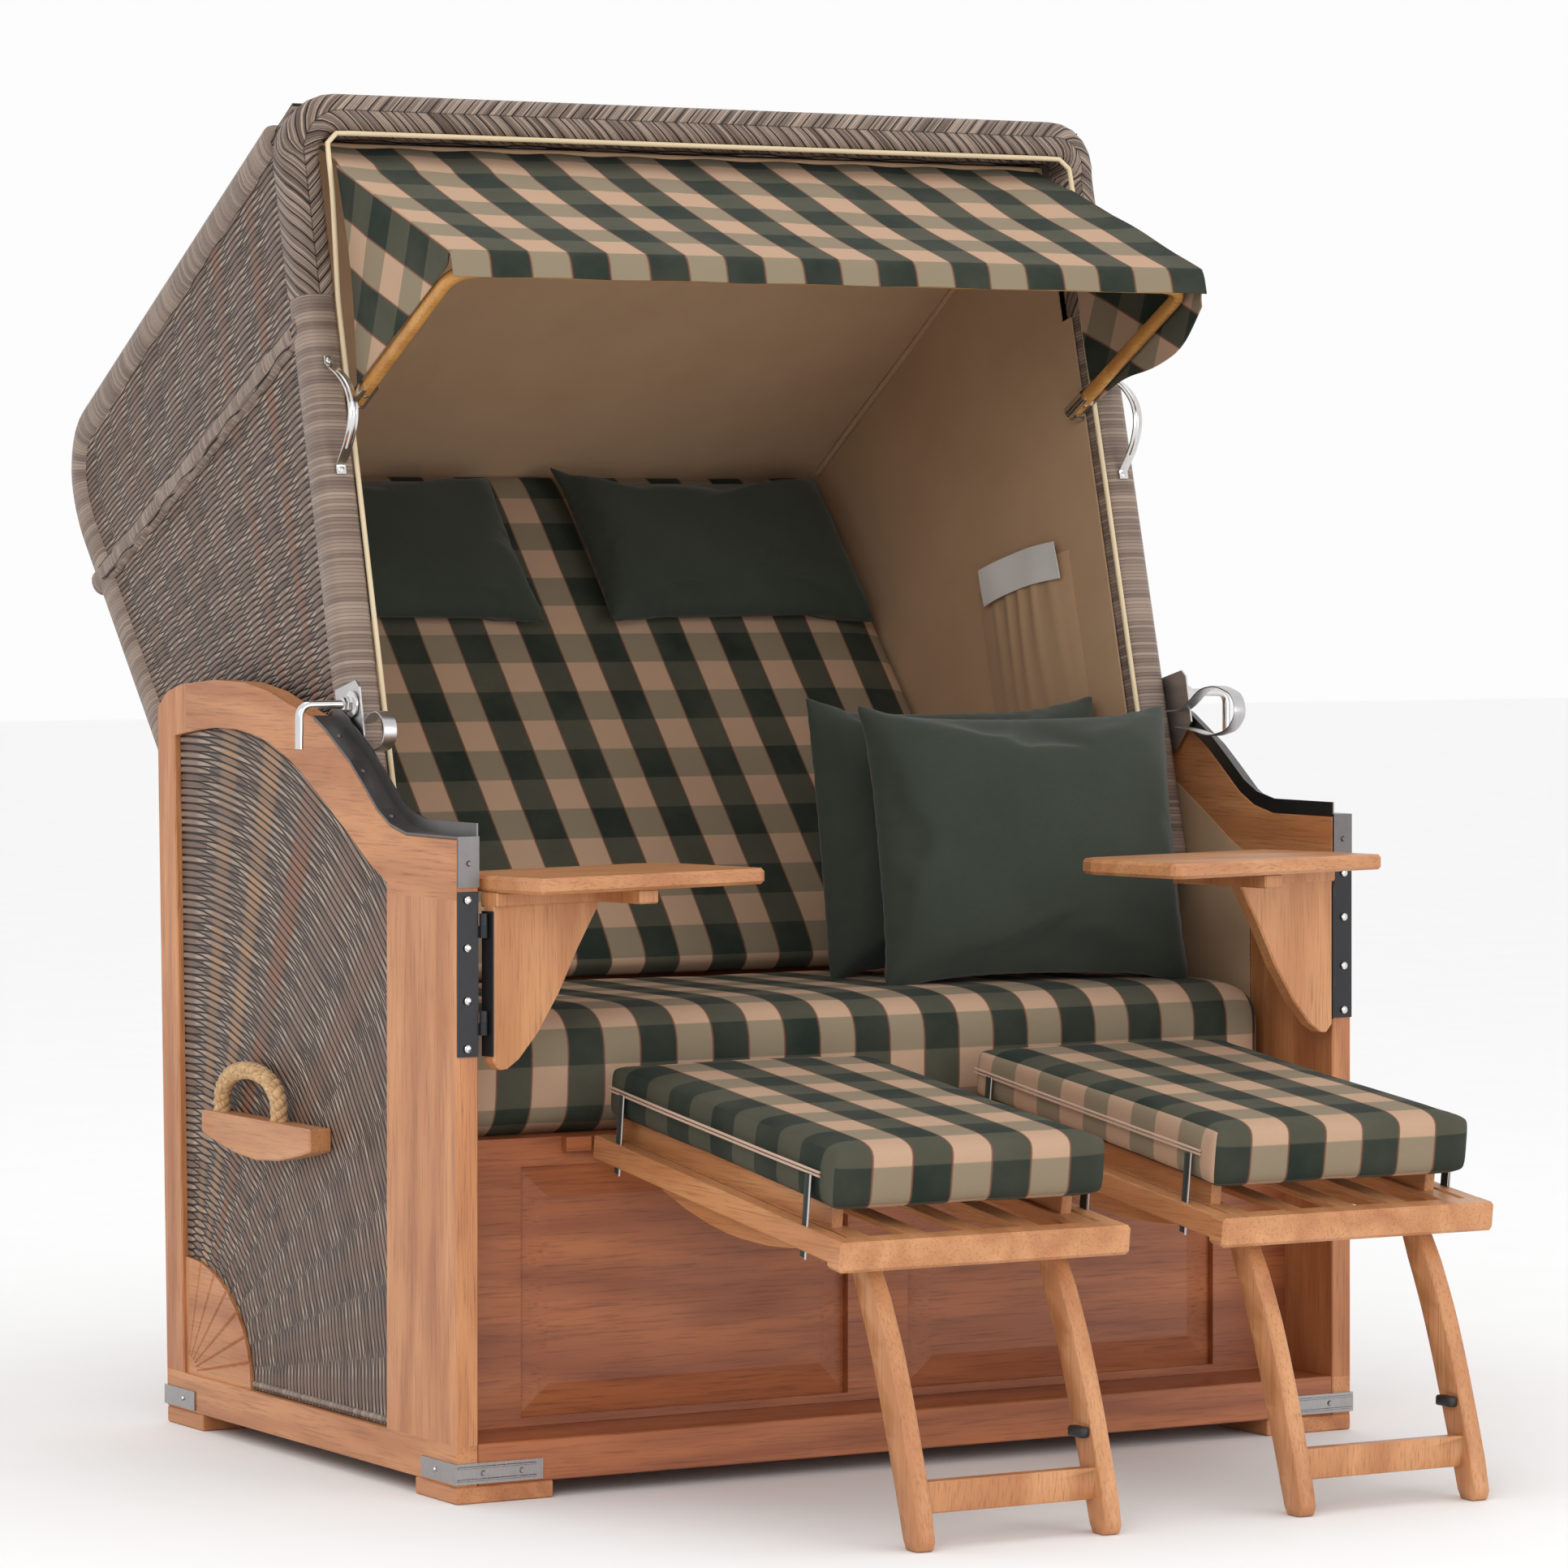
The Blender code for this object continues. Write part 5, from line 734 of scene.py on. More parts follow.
for tag, side in sides:
    out = upX * side
    gridCopy("woven_side_" + tag, "woven_panel_" + tag, 0.0125, worldPlace, "base weave", "base", fanPattern,
             staveRelief(fanPattern, out))
    gridCopy("hood_weave_" + tag, "hood_side_" + tag, 0.0125, hoodPlace, "hood weave", "hood", wallPattern,
             staveRelief(wallPattern, out))
for wall in ("roof", "back"):
    gridCopy(wall + "_weave", "hood_" + wall, 0.025, hoodPlace, "hood weave", "hood", flatPattern, None)
print("stage: woven walls")

# wound and plaited rolls of the hood
rollValues = {"post": 0.0252, "roll": 0.0246, "low": 0.0178, "belt": 0.0182, "plait": 0.0258, "hem": 0.0102}
postX, rollX, plaitX = 0.5695, 0.570, 0.5695
shoulder = [(-0.41736, 1.38450), (0.23646, 1.18735), (0.26022, 1.1344), (0.25184, 1.0766), (-0.06894, hoodLow)]
for tag, side in sides:
    work = newWork()
    addSweep(work, [(side * postX, hoodFront, 0.4195), (side * postX, hoodFront, 1.185)],
             roundRing(rollValues["post"], 3.0, 20), upX, 0.03)
    addSweep(work, [(side * postX, hoodFront, hoodLow), (side * postX, -0.0723, hoodLow)],
             roundRing(rollValues["low"], 2.2, 14), upX, 0.03)
    path = rounded([(side * rollX, y, z) for y, z in shoulder], 0.05)
    addSweep(work, path, roundRing(rollValues["roll"], 2.6, 18), upX, 0.012)
    made = piece("hood_rolls_" + tag, work, "wound roll", "hood", hoodPlace, ("hood_frame",), 50.0)
    work = newWork()
    beltX = side * 0.5805
    addSweep(work, [(beltX, -0.430, 1.1319), (beltX, 0.232, 0.9811)],
             superRing(rollValues["belt"] * 0.85, rollValues["belt"], 2.2, 16), upX, 0.02)
    piece("hood_belt_" + tag, work, "wound roll", "hood", hoodPlace, (), 50.0)
work = newWork()
addSweep(work, [(-rollX, 0.23646, 1.18735), (rollX, 0.23646, 1.18735)],
         roundRing(rollValues["roll"] * 0.97, 2.4, 16), upZ, 0.03)
addSweep(work, [(-0.544, -0.05357, 0.4218), (0.544, -0.05357, 0.4218)],
         roundRing(rollValues["hem"], 2.0, 12), upZ, 0.03)
piece("hood_rear_rolls", work, "wound roll", "hood", hoodPlace, (), 50.0)

work = newWork()
corner, plaitLow, plaitTop, lean = 0.04275, 1.17, 1.4022, 0.022
path = [(-plaitX, hoodFront, plaitLow)]
for turn in (math.pi / 12 * i for i in range(7)):
    path.append((-plaitX + corner * (1 - math.cos(turn)), hoodFront - lean * math.sin(turn),
                 plaitTop - corner * (1 - math.sin(turn))))
path += [(-x, y, z) for x, y, z in path[::-1]]
addSweep(work, path, roundRing(rollValues["plait"], 3.2, 32), -upY, 0.012)
piece("hood_braid", work, "plaited roll", "hood", hoodPlace, ("hood_plait",), 50.0)

# the twisted edge of the woven side panels
edgeValues = {"x": 0.6215, "rear": 0.240, "high": 0.700}
for tag, side in sides:
    x = side * edgeValues["x"]
    work = newWork()
    low = [(x, -0.256, 0.0745), (x, edgeValues["rear"], 0.0745)]
    front = [(x, -0.2565, 0.074), (x, -0.2565, edgeValues["high"])]
    for path in (low, front):
        addSweep(work, path, roundRing(0.0042, 2.0, 8), upX, 0.03)
    piece("panel_edge_" + tag, work, "twisted edge", "base", worldPlace, (), 60.0)
print("stage: rolls")


# padded pieces: a rounded block of cloth whose pattern runs over its edges
def addPad(work, size, counts, radius, shape=None, band=None):
    layer = work.loops.layers.uv["pattern"]
    half = Vector(size) / 2
    verts = {}

    def flat(i, j, k):
        return Vector([(2 * step / count - 1) * reach for step, count, reach in zip((i, j, k), counts, half)])

    def spot(i, j, k):
        if (i, j, k) not in verts:
            co = flat(i, j, k)
            inner = Vector([max(-(half[n] - radius), min(half[n] - radius, co[n])) for n in range(3)])
            over = co - inner
            if over.length > 1e-9:
                over *= max(abs(c) for c in over) / over.length
            verts[(i, j, k)] = work.verts.new(inner + over)
        return verts[(i, j, k)]

    for axis in range(3):
        one, two = [n for n in range(3) if n != axis]
        for end in (0, counts[axis]):
            for a in range(counts[one]):
                for b in range(counts[two]):
                    corners = []
                    for da, db in ((0, 0), (1, 0), (1, 1), (0, 1)):
                        index = [0, 0, 0]
                        index[axis], index[one], index[two] = end, a + da, b + db
                        corners.append(tuple(index))
                    if (end == 0) != (axis == 1):
                        corners = corners[::-1]
                    face = work.faces.new([spot(*c) for c in corners])
                    for loop, c in zip(face.loops, corners):
                        p = flat(*c)
                        below = half.z - p.z
                        if axis == 2:
                            loop[layer].uv = (p.x, p.y)
                        elif axis == 1:
                            loop[layer].uv = (p.x, p.y + math.copysign(below, p.y))
                        elif band is None:
                            loop[layer].uv = (p.x + math.copysign(below, p.x), p.y)
                        else:
                            loop[layer].uv = (band + p.z * 0.4, p.y)
    if shape:
        for vert in work.verts:
            vert.co = shape(vert.co)


# two sheets of cloth sewn round their edge
def addPillow(work, wide, high, thick, seed, ear, count=34, draw=0.008):
    layer = work.loops.layers.uv["pattern"]
    noiseOf = random.Random(seed)
    waves = [(noiseOf.uniform(0.6, 1.6), noiseOf.uniform(0, 6.28), noiseOf.uniform(-3.0, 3.0))
             for n in range(4)]
    grids = []
    for face in (1, -1):
        grid = {}
        for i in range(count + 1):
            for j in range(count + 1):
                a, b = 2 * i / count - 1, 2 * j / count - 1
                if face < 0 and (i in (0, count) or j in (0, count)):
                    grid[(i, j)] = grids[0][(i, j)]
                    continue
                x = a * wide / 2 * (1 - draw * (1 - b * b) * abs(a))
                z = b * high / 2 * (1 - draw * (1 - a * a) * abs(b))
                drawn = abs(a) ** 6 * math.sin(21 * b + seed) + abs(b) ** 6 * math.sin(25 * a + 2 * seed)
                pucker = 0.0022 * drawn
                corner = max(0.0, -a * b) ** 10 if a < 0 else 0.0
                x += math.copysign(pucker * abs(a), a) - corner * ear * 0.5
                z += math.copysign(pucker * abs(b), b) + corner * ear
                full = ((1 - abs(a) ** 2.6) * (1 - abs(b) ** 2.6)) ** 0.50
                full *= 1 + 0.06 * sum(math.sin(w * 2 * a + q + t * b) for w, q, t in waves)
                grid[(i, j)] = work.verts.new((x, -face * thick / 2 * full, z))
        grids.append(grid)
        for i in range(count):
            for j in range(count):
                corners = ((i, j), (i + 1, j), (i + 1, j + 1), (i, j + 1))
                if face < 0:
                    corners = corners[::-1]
                made = work.faces.new([grid[c] for c in corners])
                for loop, (a, b) in zip(made.loops, corners):
                    loop[layer].uv = (wide * a / count, high * b / count)


soft = []


def inflate(made, pressure, cap):
    soft.append((made, pressure, cap))


def runCloth(step=20):
    rest = {}
    for made, pressure, cap in soft:
        rest[made.name] = [vert.co.copy() for vert in made.data.vertices]
        cloth = made.modifiers.new("cloth", "CLOTH")
        cloth.settings.use_pressure = True
        cloth.settings.uniform_pressure_force = pressure
        cloth.settings.effector_weights.gravity = 0.0
        cloth.settings.tension_stiffness = 25
        cloth.settings.compression_stiffness = 25
        cloth.settings.bending_stiffness = 0.4
        cloth.settings.quality = 5
        cloth.point_cache.frame_start = 1
        cloth.point_cache.frame_end = step
    for at in range(1, step + 1):
        bpy.context.scene.frame_set(at)
    graph = bpy.context.evaluated_depsgraph_get()
    for made, pressure, cap in soft:
        shown = made.evaluated_get(graph).to_mesh()
        moved = [vert.co.copy() for vert in shown.vertices]
        made.evaluated_get(graph).to_mesh_clear()
        made.modifiers.clear()
        for vert, before, after in zip(made.data.vertices, rest[made.name], moved):
            way = after - before
            if way.length > cap:
                way *= cap / way.length
            vert.co = before + way
    bpy.context.scene.frame_set(1)


def refine(made):
    smooth = made.modifiers.new("smooth", "SUBSURF")
    smooth.levels = smooth.render_levels = 1
    bake(made)


def axesPlace(middle, x, y, z):
    made = Matrix((x, y, z)).transposed().to_4x4()
    made.translation = middle
    return made


# seat cushion: checks run over the rounded front
seatValues = {"half": 0.589, "rearHalf": 0.5665, "front": -0.2165, "rear": 0.3115, "low": 0.4120,
              "high": 0.5530, "round": 0.040, "narrowFrom": 0.125, "puff": 0.008}
work = newWork()
seatRun, seatTall = seatValues["rear"] - seatValues["front"], seatValues["high"] - seatValues["low"]
seatMiddle = Vector((0.0, seatValues["front"] + seatRun / 2, seatValues["low"] + seatTall / 2))


def seatShape(co):
    y = co.y + seatMiddle.y
    share = max(0.0, min(1.0, (y - seatValues["narrowFrom"] + 0.02) / 0.03))
    wide = 1.0 + (seatValues["rearHalf"] / seatValues["half"] - 1.0) * share
    return Vector((co.x * wide, co.y, co.z))


addPad(work, (2 * seatValues["half"], seatRun, seatTall), (60, 28, 8), seatValues["round"], seatShape)
seatPad = piece("seat_pad", work, "seat check", None, Matrix.Translation(seatMiddle), (), 180)
inflate(seatPad, 1.6, seatValues["puff"])

# back cushion on the sloping back
backValues = {"wide": 1.072, "run": 0.856, "thick": 0.041, "round": 0.015, "puff": 0.006}
backAlong, backOut = Vector((0, 0.44887, 0.8936)), Vector((0, -0.8936, 0.44887))
backMiddle = Vector((0.0, 0.07687, 0.75967))
backPlace = hoodPlace @ axesPlace(backMiddle - backAlong * 0.007, upX, backAlong, backOut)
work = newWork()
addPad(work, (backValues["wide"], backValues["run"], backValues["thick"]), (54, 40, 4), backValues["round"])
backPad = piece("back_pad", work, "back check", None, backPlace, (), 180)
inflate(backPad, 1.2, backValues["puff"])

# footrest cushions with a zip along the side band
restValues = {"wide": 0.361, "front": -0.5465, "rear": -0.0065, "low": 0.0402, "tallRear": 0.060,
              "tallFront": 0.069, "round": 0.008, "puff": 0.005, "ear": 0.006,
              "bands": {"left": 0.0525, "right": 0.0}}
restRun = restValues["rear"] - restValues["front"]
restPads = {}


def restShape(co):                    # taller in front, with small ears at the four corners
    share = (co.y + restRun / 2) / restRun
    tall = restValues["tallFront"] + (restValues["tallRear"] - restValues["tallFront"]) * share
    pull = restValues["ear"] * (abs(co.x) / restValues["wide"] * 2) ** 14 * (abs(co.y) / restRun * 2) ** 30
    lift = 0.6 if co.z > 0 else -0.3
    ear = Vector((math.copysign(pull, co.x), math.copysign(pull * 0.4, co.y), pull * lift))
    return Vector((co.x, co.y, (co.z + restValues["tallRear"] / 2) * tall / restValues["tallRear"])) + ear


for tag, side in sides:
    work = newWork()
    addPad(work, (restValues["wide"], restRun, restValues["tallRear"]), (24, 34, 5), restValues["round"],
           restShape, restValues["bands"][tag])
    place = restPlaces[tag] @ Matrix.Translation((0.0, restValues["front"] + restRun / 2, restValues["low"]))
    restPads[tag] = piece("footrest_pad_" + tag, work, "rest check", None, place, (), 180)
    inflate(restPads[tag], 1.6, restValues["puff"])

# plain pillows
pillowValues = {
    "neck_left": {"wide": 0.462, "high": 0.274, "thick": 0.058, "puff": 0.018, "seed": 3, "ear": 0.010},
    "neck_right": {"wide": 0.444, "high": 0.274, "thick": 0.058, "puff": 0.018, "seed": 5, "ear": 0.024},
    "throw_front": {"wide": 0.458, "high": 0.384, "thick": 0.104, "puff": 0.024, "seed": 7, "ear": 0.006},
    "throw_rear": {"wide": 0.458, "high": 0.384, "thick": 0.104, "puff": 0.024, "seed": 9, "ear": 0.006},
}


def boxMiddle(node):
    low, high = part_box(node)
    return (Vector(low) + Vector(high)) / 2


pillowPlaces = {}
for key, middle in (("neck_left", (-0.225, 0.14739, 1.01881)), ("neck_right", (0.300, 0.14810, 1.01845))):
    lower = Vector(middle) - backAlong * 0.017
    pillowPlaces[key] = hoodPlace @ axesPlace(lower, upX, -backOut, backAlong)
for key, across, up in (("throw_front", (0.98503, -0.17238, 0.0), (0.0417, 0.2383, 0.9703)),
                        ("throw_rear", (0.99516, -0.09829, 0.0), (0.02044, 0.2069, 0.97815))):
    across, up = Vector(across).normalized(), Vector(up).normalized()
    middle = boxMiddle("throw_pillow_" + key[6:]) + Vector((0.008, 0.0, -0.002))
    pillowPlaces[key] = axesPlace(middle, across, up.cross(across), up)
pillows = {}
for key, values in pillowValues.items():
    work = newWork()
    addPillow(work, values["wide"], values["high"], values["thick"], values["seed"], values["ear"])
    pillows[key] = piece("pillow_" + key, work, "green cloth", None, pillowPlaces[key], (), 180)
    inflate(pillows[key], 2.5, values["puff"])

runCloth()
softPieces = [(seatPad, "base", "seat_cushion", "green_check", 0.75),
              (backPad, "hood", "back_cushion", "green_check", 0.6)]
for tag, side in sides:
    softPieces.append((restPads[tag], "footrest_" + tag, "footrest_cushion_" + tag, "green_check", 0.8))
for tag, side in sides:
    softPieces.append((pillows["neck_" + tag], "hood", "neck_pillow_" + tag, "green_cloth", 0.5))
for tag in ("front", "rear"):
    softPieces.append((pillows["throw_" + tag], "base", "throw_pillow_" + tag, "green_cloth", 0.55))
for made, body, node, paint, fill in softPieces:
    refine(made)
    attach(made, body)
    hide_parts(node)
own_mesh(backPad)
print("stage: padded pieces")

# lining of beige cloth, pale piping and a pocket on each cheek
liningValues = {"half": 0.5425, "thick": 0.0025, "front": -0.4250, "rear": 0.2795, "topFront": 1.3810,
                "topRear": 1.1299, "low": 0.4205, "lowRear": -0.0700, "step": 1.168, "cuts": 24,
                "slack": 0.0006}
front, low, step = liningValues["front"], liningValues["low"], liningValues["step"]
cheek = [(hoodFront, low), (liningValues["lowRear"], low), (0.2790, 1.1300), (front, 1.3805), (front, step),
         (hoodFront, step)]
for tag, side in sides:
    work = newWork()
    layer = work.loops.layers.uv["pattern"]
    verts = [work.verts.new((side * (liningValues["half"] - 0.001), y, z)) for y, z in cheek]
    work.faces.new(verts)
    for axis, low, high in ((1, hoodFront, 0.279), (2, 0.42, 1.385)):
        for i in range(1, liningValues["cuts"]):
            cutAt(work, axis, low + (high - low) * i / liningValues["cuts"])
    sidePattern(work, layer)
    for vert in work.verts:
        y, z = vert.co.y, vert.co.z
        ripple = math.sin(9 * y + 3 * z) * math.sin(6 * z - 4 * y)
        vert.co.x -= side * liningValues["slack"] * (1 + ripple)
    made = clothPiece("lining_cheek_" + tag, work, "beige lining", "hood", hoodPlace, liningValues["thick"],
                      ("hood_lining",))
work = newWork()


def roofSpot(s, t):
    x = (2 * s - 1) * (liningValues["half"] - 0.002)
    y = liningValues["front"] + (liningValues["rear"] - liningValues["front"]) * t
    z = liningValues["topFront"] + (liningValues["topRear"] - liningValues["topFront"]) * t
    sag = 0.0012 * math.sin(math.pi * s) * math.sin(math.pi * t)
    ripple = 0.0005 * math.sin(14 * s) * math.sin(9 * t + 4 * s)
    return Vector((x, y, z - sag - ripple))


addGrid(work, 40, 26, roofSpot, lambda s, t: (s * 1.08, t * 0.74))
made = clothPiece("lining_roof", work, "beige lining", "hood", hoodPlace, liningValues["thick"])

pipingValues = {"radius": 0.0034, "x": 0.5440, "y": -0.4690, "topY": -0.4880, "topZ": 1.3745}
work = newWork()
x, y = pipingValues["x"], pipingValues["y"]
topY, topZ = pipingValues["topY"], pipingValues["topZ"]
line = [(-x, y, 0.422), (-x, y, 1.165), (-x, topY, 1.30), (-x, topY, topZ)]
line += [(-a, b, c) for a, b, c in line[::-1]]
addSweep(work, rounded(line, 0.02), roundRing(pipingValues["radius"], 2.0, 8), upY, 0.02)
piece("piping", work, "pale piping", "hood", hoodPlace, (), 60)

# soft seams where the roof meets the cheeks
for tag, side in sides:
    work = newWork()
    start, end = Vector((side * 0.5370, -0.4250, 1.3760)), Vector((side * 0.5370, 0.2400, 1.1400))
    line = [start.lerp(end, i / 24) - upX * (side * 0.0012 * math.sin(9 * i / 24)) for i in range(25)]
    addSweep(work, line, roundRing(0.0042, 2.0, 10), upX, 0.02)
    piece("corner_seam_" + tag, work, "beige lining", "hood", hoodPlace, (), 60)

pocketValues = {"front": -0.368, "rear": -0.135, "low": 0.600, "high": 0.872, "bulge": 0.0110,
                "gather": 0.0026, "folds": 6, "x": 0.5392, "taper": 0.03, "thick": 0.0008}
labelValues = {"x": 0.5238, "y": -0.262, "z": 0.844, "wide": 0.190, "high": 0.050, "thick": 0.0008}
for tag, side in sides:
    wide, tall = pocketValues["rear"] - pocketValues["front"], pocketValues["high"] - pocketValues["low"]

    def pocketSpot(s, t):
        y = pocketValues["front"] + wide * s
        z = pocketValues["low"] + tall * t
        inset = pocketValues["taper"] * (1 - t) ** 3 * (2 * s - 1)
        body = math.sin(math.pi * s) ** 0.8 * math.sin(math.pi * (0.02 + 0.62 * t)) ** 1.2
        wave = math.sin(pocketValues["folds"] * 2 * math.pi * (s + 0.05 * t) + 1.3 * math.sin(3 * t + 7 * s))
        folds = (wave + 0.4 * abs(wave)) * math.sin(math.pi * s)
        gather = pocketValues["gather"] * folds * t * (0.35 + 0.65 * t)
        edge = min(1.0, 6 * s, 6 * (1 - s), 6 * t)
        out = pocketValues["bulge"] * body + gather * edge
        return Vector((side * (pocketValues["x"] - max(0.0003, out)), y - inset * wide, z))

    work = newWork()
    addGrid(work, 90, 40, pocketSpot, lambda s, t: (s * 0.32, t * tall))
    made = clothPiece("pocket_" + tag, work, "beige lining", "hood", hoodPlace, pocketValues["thick"])

    def labelSpot(s, t):              # a bare strip that curls a little off the pocket's hem
        curl = 0.0018 * math.sin(5 * s + 2 * t) + 0.0010 * math.sin(11 * s)
        hang = 0.009 * s - 0.006 * math.sin(3.0 * s)
        return Vector((side * (labelValues["x"] - curl), labelValues["y"] - labelValues["wide"] * (s - 0.5),
                       labelValues["z"] + labelValues["high"] * t - hang))

    work = newWork()
    addGrid(work, 20, 5, labelSpot, lambda s, t: (s * labelValues["wide"], t * labelValues["high"]))
    clothPiece("bare_label_" + tag, work, "bare label", "hood", hoodPlace, labelValues["thick"])

# cloth behind the back cushion, between the cheeks
backCloth = {"wide": 1.081, "run": 0.770, "lift": 0.030, "behind": 0.0209, "thick": 0.0010}
clothMiddle = backMiddle - backOut * backCloth["behind"] + backAlong * backCloth["lift"]
work = newWork()


def backSpot(s, t):
    ripple = 0.0004 * math.sin(11 * s) * math.sin(7 * t)
    across, along = backCloth["wide"] * (s - 0.5), backCloth["run"] * (t - 0.5)
    return clothMiddle + backAlong * along + upX * across + backOut * ripple


addGrid(work, 30, 20, backSpot, lambda s, t: (s * 1.08, t * backCloth["run"]))
made = clothPiece("lining_back", work, "beige lining", "hood", hoodPlace, backCloth["thick"])

# cloth on the inside of the base's side panels
sideCloth = {"x": 0.6012, "hem": 0.006, "thick": 0.0010, "middle": Vector((0.0, 0.12, 0.45))}
for tag, side in sides:
    work = copyOf("woven_panel_" + tag)
    bmesh.ops.delete(work, geom=[face for face in work.faces if face.normal.x * side > -0.9], context="FACES")
    for vert in work.verts:           # a hem a few millimetres past the opening
        away = vert.co - sideCloth["middle"]
        vert.co = sideCloth["middle"] + away * (1.0 + sideCloth["hem"] / max(away.length, 0.1))
        vert.co.x = side * sideCloth["x"]
    layer = freshPattern(work)
    bmesh.ops.triangulate(work, faces=work.faces[:])
    sidePattern(work, layer)
    made = clothPiece("base_lining_" + tag, work, "beige lining", "base", worldPlace, sideCloth["thick"])
print("stage: lining")

# awning: check cloth from the braid to the bow, a short drop in front and a flap at each side
awningValues = {"upper": (0.013, 0.336), "lead": (-0.33264, -0.23500), "drop": 0.036, "narrow": 0.530,
                "wide": 0.5385, "postFront": -0.0345, "thick": 0.0016, "sag": 0.007}
awningUpper, awningLead = Vector((0.0, *awningValues["upper"])), Vector((0.0, *awningValues["lead"]))
awningTip = awningUpper + awningLead
leadLength, leadWay = awningLead.length, awningLead.normalized()
clothRun = leadLength + awningValues["drop"]


def awningHalf(y):
    share = max(0.0, min(1.0, (awningValues["postFront"] - y) / 0.03))
    return awningValues["narrow"] + (awningValues["wide"] - awningValues["narrow"]) * share


def awningSpot(s, t):
    across = 2 * s - 1
    run = t * clothRun
    if run <= leadLength:
        share = run / leadLength
        spot = awningUpper + awningLead * share
        sag = awningValues["sag"] * math.sin(math.pi * share) * (1 - across ** 6)
        fold = 0.0012 * math.sin(30 * across + 3 * t) * (1 - share)
        crease = 0.0016 * math.sin(9 * across * t + 5 * t) * math.sin(math.pi * share)
        spot.z += fold + crease - sag
    else:
        low = run - leadLength
        turn = min(1.0, low / 0.012)
        spot = awningTip + Vector((0.0, -0.003 * turn, -low + 0.003 * turn))
        spot.y += 0.0018 * math.sin(across * math.pi * 6) * min(1.0, low / 0.03)
    return Vector((across * awningHalf(spot.y), spot.y, spot.z))


work = newWork()
addGrid(work, 100, 46, awningSpot, lambda s, t: ((2 * s - 1) * awningValues["wide"], t * clothRun))
awningCloth = clothPiece("awning_sheet", work, "awning check", None, awningPlace, awningValues["thick"],
                         ("awning_cloth",))
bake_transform(awningCloth)

# the flaps hang from the cloth's sides, the right one slacker
flapEdges = {"left": [(-0.0345, 0.015), (-0.100, 0.0330), (-0.190, 0.0560), (-0.300, 0.0850)],
             "right": [(-0.0345, 0.002), (-0.110, 0.016), (-0.185, 0.008), (-0.255, 0.014), (-0.312, 0.054)]}
for tag, side in sides:
    bottom, total = evenly(rounded([(0, y, z) for y, z in flapEdges[tag]], 0.03), 0.008)

    def flapSpot(s, t):
        place = s * (len(bottom) - 1)
        i = min(int(place), len(bottom) - 2)
        foot = bottom[i].lerp(bottom[i + 1], place - i)
        topStart = awningUpper + awningLead * 0.19
        head = topStart.lerp(awningTip + Vector((0, -0.002, -0.001)), s)
        spot = head.lerp(foot, t)
        slack = math.sin(math.pi * t) * (0.0045 * math.sin(4.4 * s + 2.0) + 0.002 * math.sin(11 * s + 3 * t))
        x = side * (awningValues["wide"] - 0.0008 - max(0.0, slack) - 0.002 * t)
        return Vector((x, spot.y, spot.z))

    def flapPattern(s, t):
        away = flapSpot(s, t) - awningUpper
        return side * (awningValues["wide"] + abs(away.cross(leadWay).x)), away.dot(leadWay)

    work = newWork()
    addGrid(work, 40, 30, flapSpot, flapPattern)
    made = clothPiece("awning_flap_" + tag, work, "awning check", None, awningPlace, awningValues["thick"])
    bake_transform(made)

# the bent bow, smoother than the solid, and its end sockets
bowValues = {"flat": 0.5247, "leg": 0.3125, "corner": 0.040, "wide": 0.0088, "thick": 0.0076}
bowWay = Vector((0.0, -0.305, 0.084)).normalized()
bowUp = bowWay.cross(upX)
bowPath = [upX * (end * bowValues["flat"]) + bowWay * reach
           for end, reach in ((-1, 0.010), (-1, bowValues["leg"]), (1, bowValues["leg"]), (1, 0.010))]
work = newWork()
bowRing = superRing(bowValues["wide"], bowValues["thick"], 2.8, 16)
addSweep(work, rounded(bowPath, bowValues["corner"], 14), bowRing, bowUp, 0.012)
piece("bent_bow", work, "bow wood", "awning", awningPlace, ("awning_bow",), 60)
socketValues = {"long": 0.044, "wide": 0.0128, "thick": 0.0080, "screw": 0.030, "face": 0.0078}
for tag, side in sides:
    work = newWork()
    socket = upX * (side * bowValues["flat"])
    addSweep(work, [socket, socket + bowWay * socketValues["long"]],
             superRing(socketValues["wide"], socketValues["thick"], 4.0, 16), upX, 0.02)
    boss = [(0.0, 0.011), (0.012, 0.011), (0.013, 0.009)]
    addTurned(work, socket - upX * side * 0.001, upX * side, boss, 20)
    for face in (1, -1):
        spot = socket + bowWay * socketValues["screw"] + bowUp * (face * socketValues["face"])
        addScrew(work, spot, bowUp * face, 0.0035)
    piece("bow_socket_" + tag, work, "bright steel", "awning", awningPlace, ("awning_socket_" + tag,), 40)
print("stage: awning")

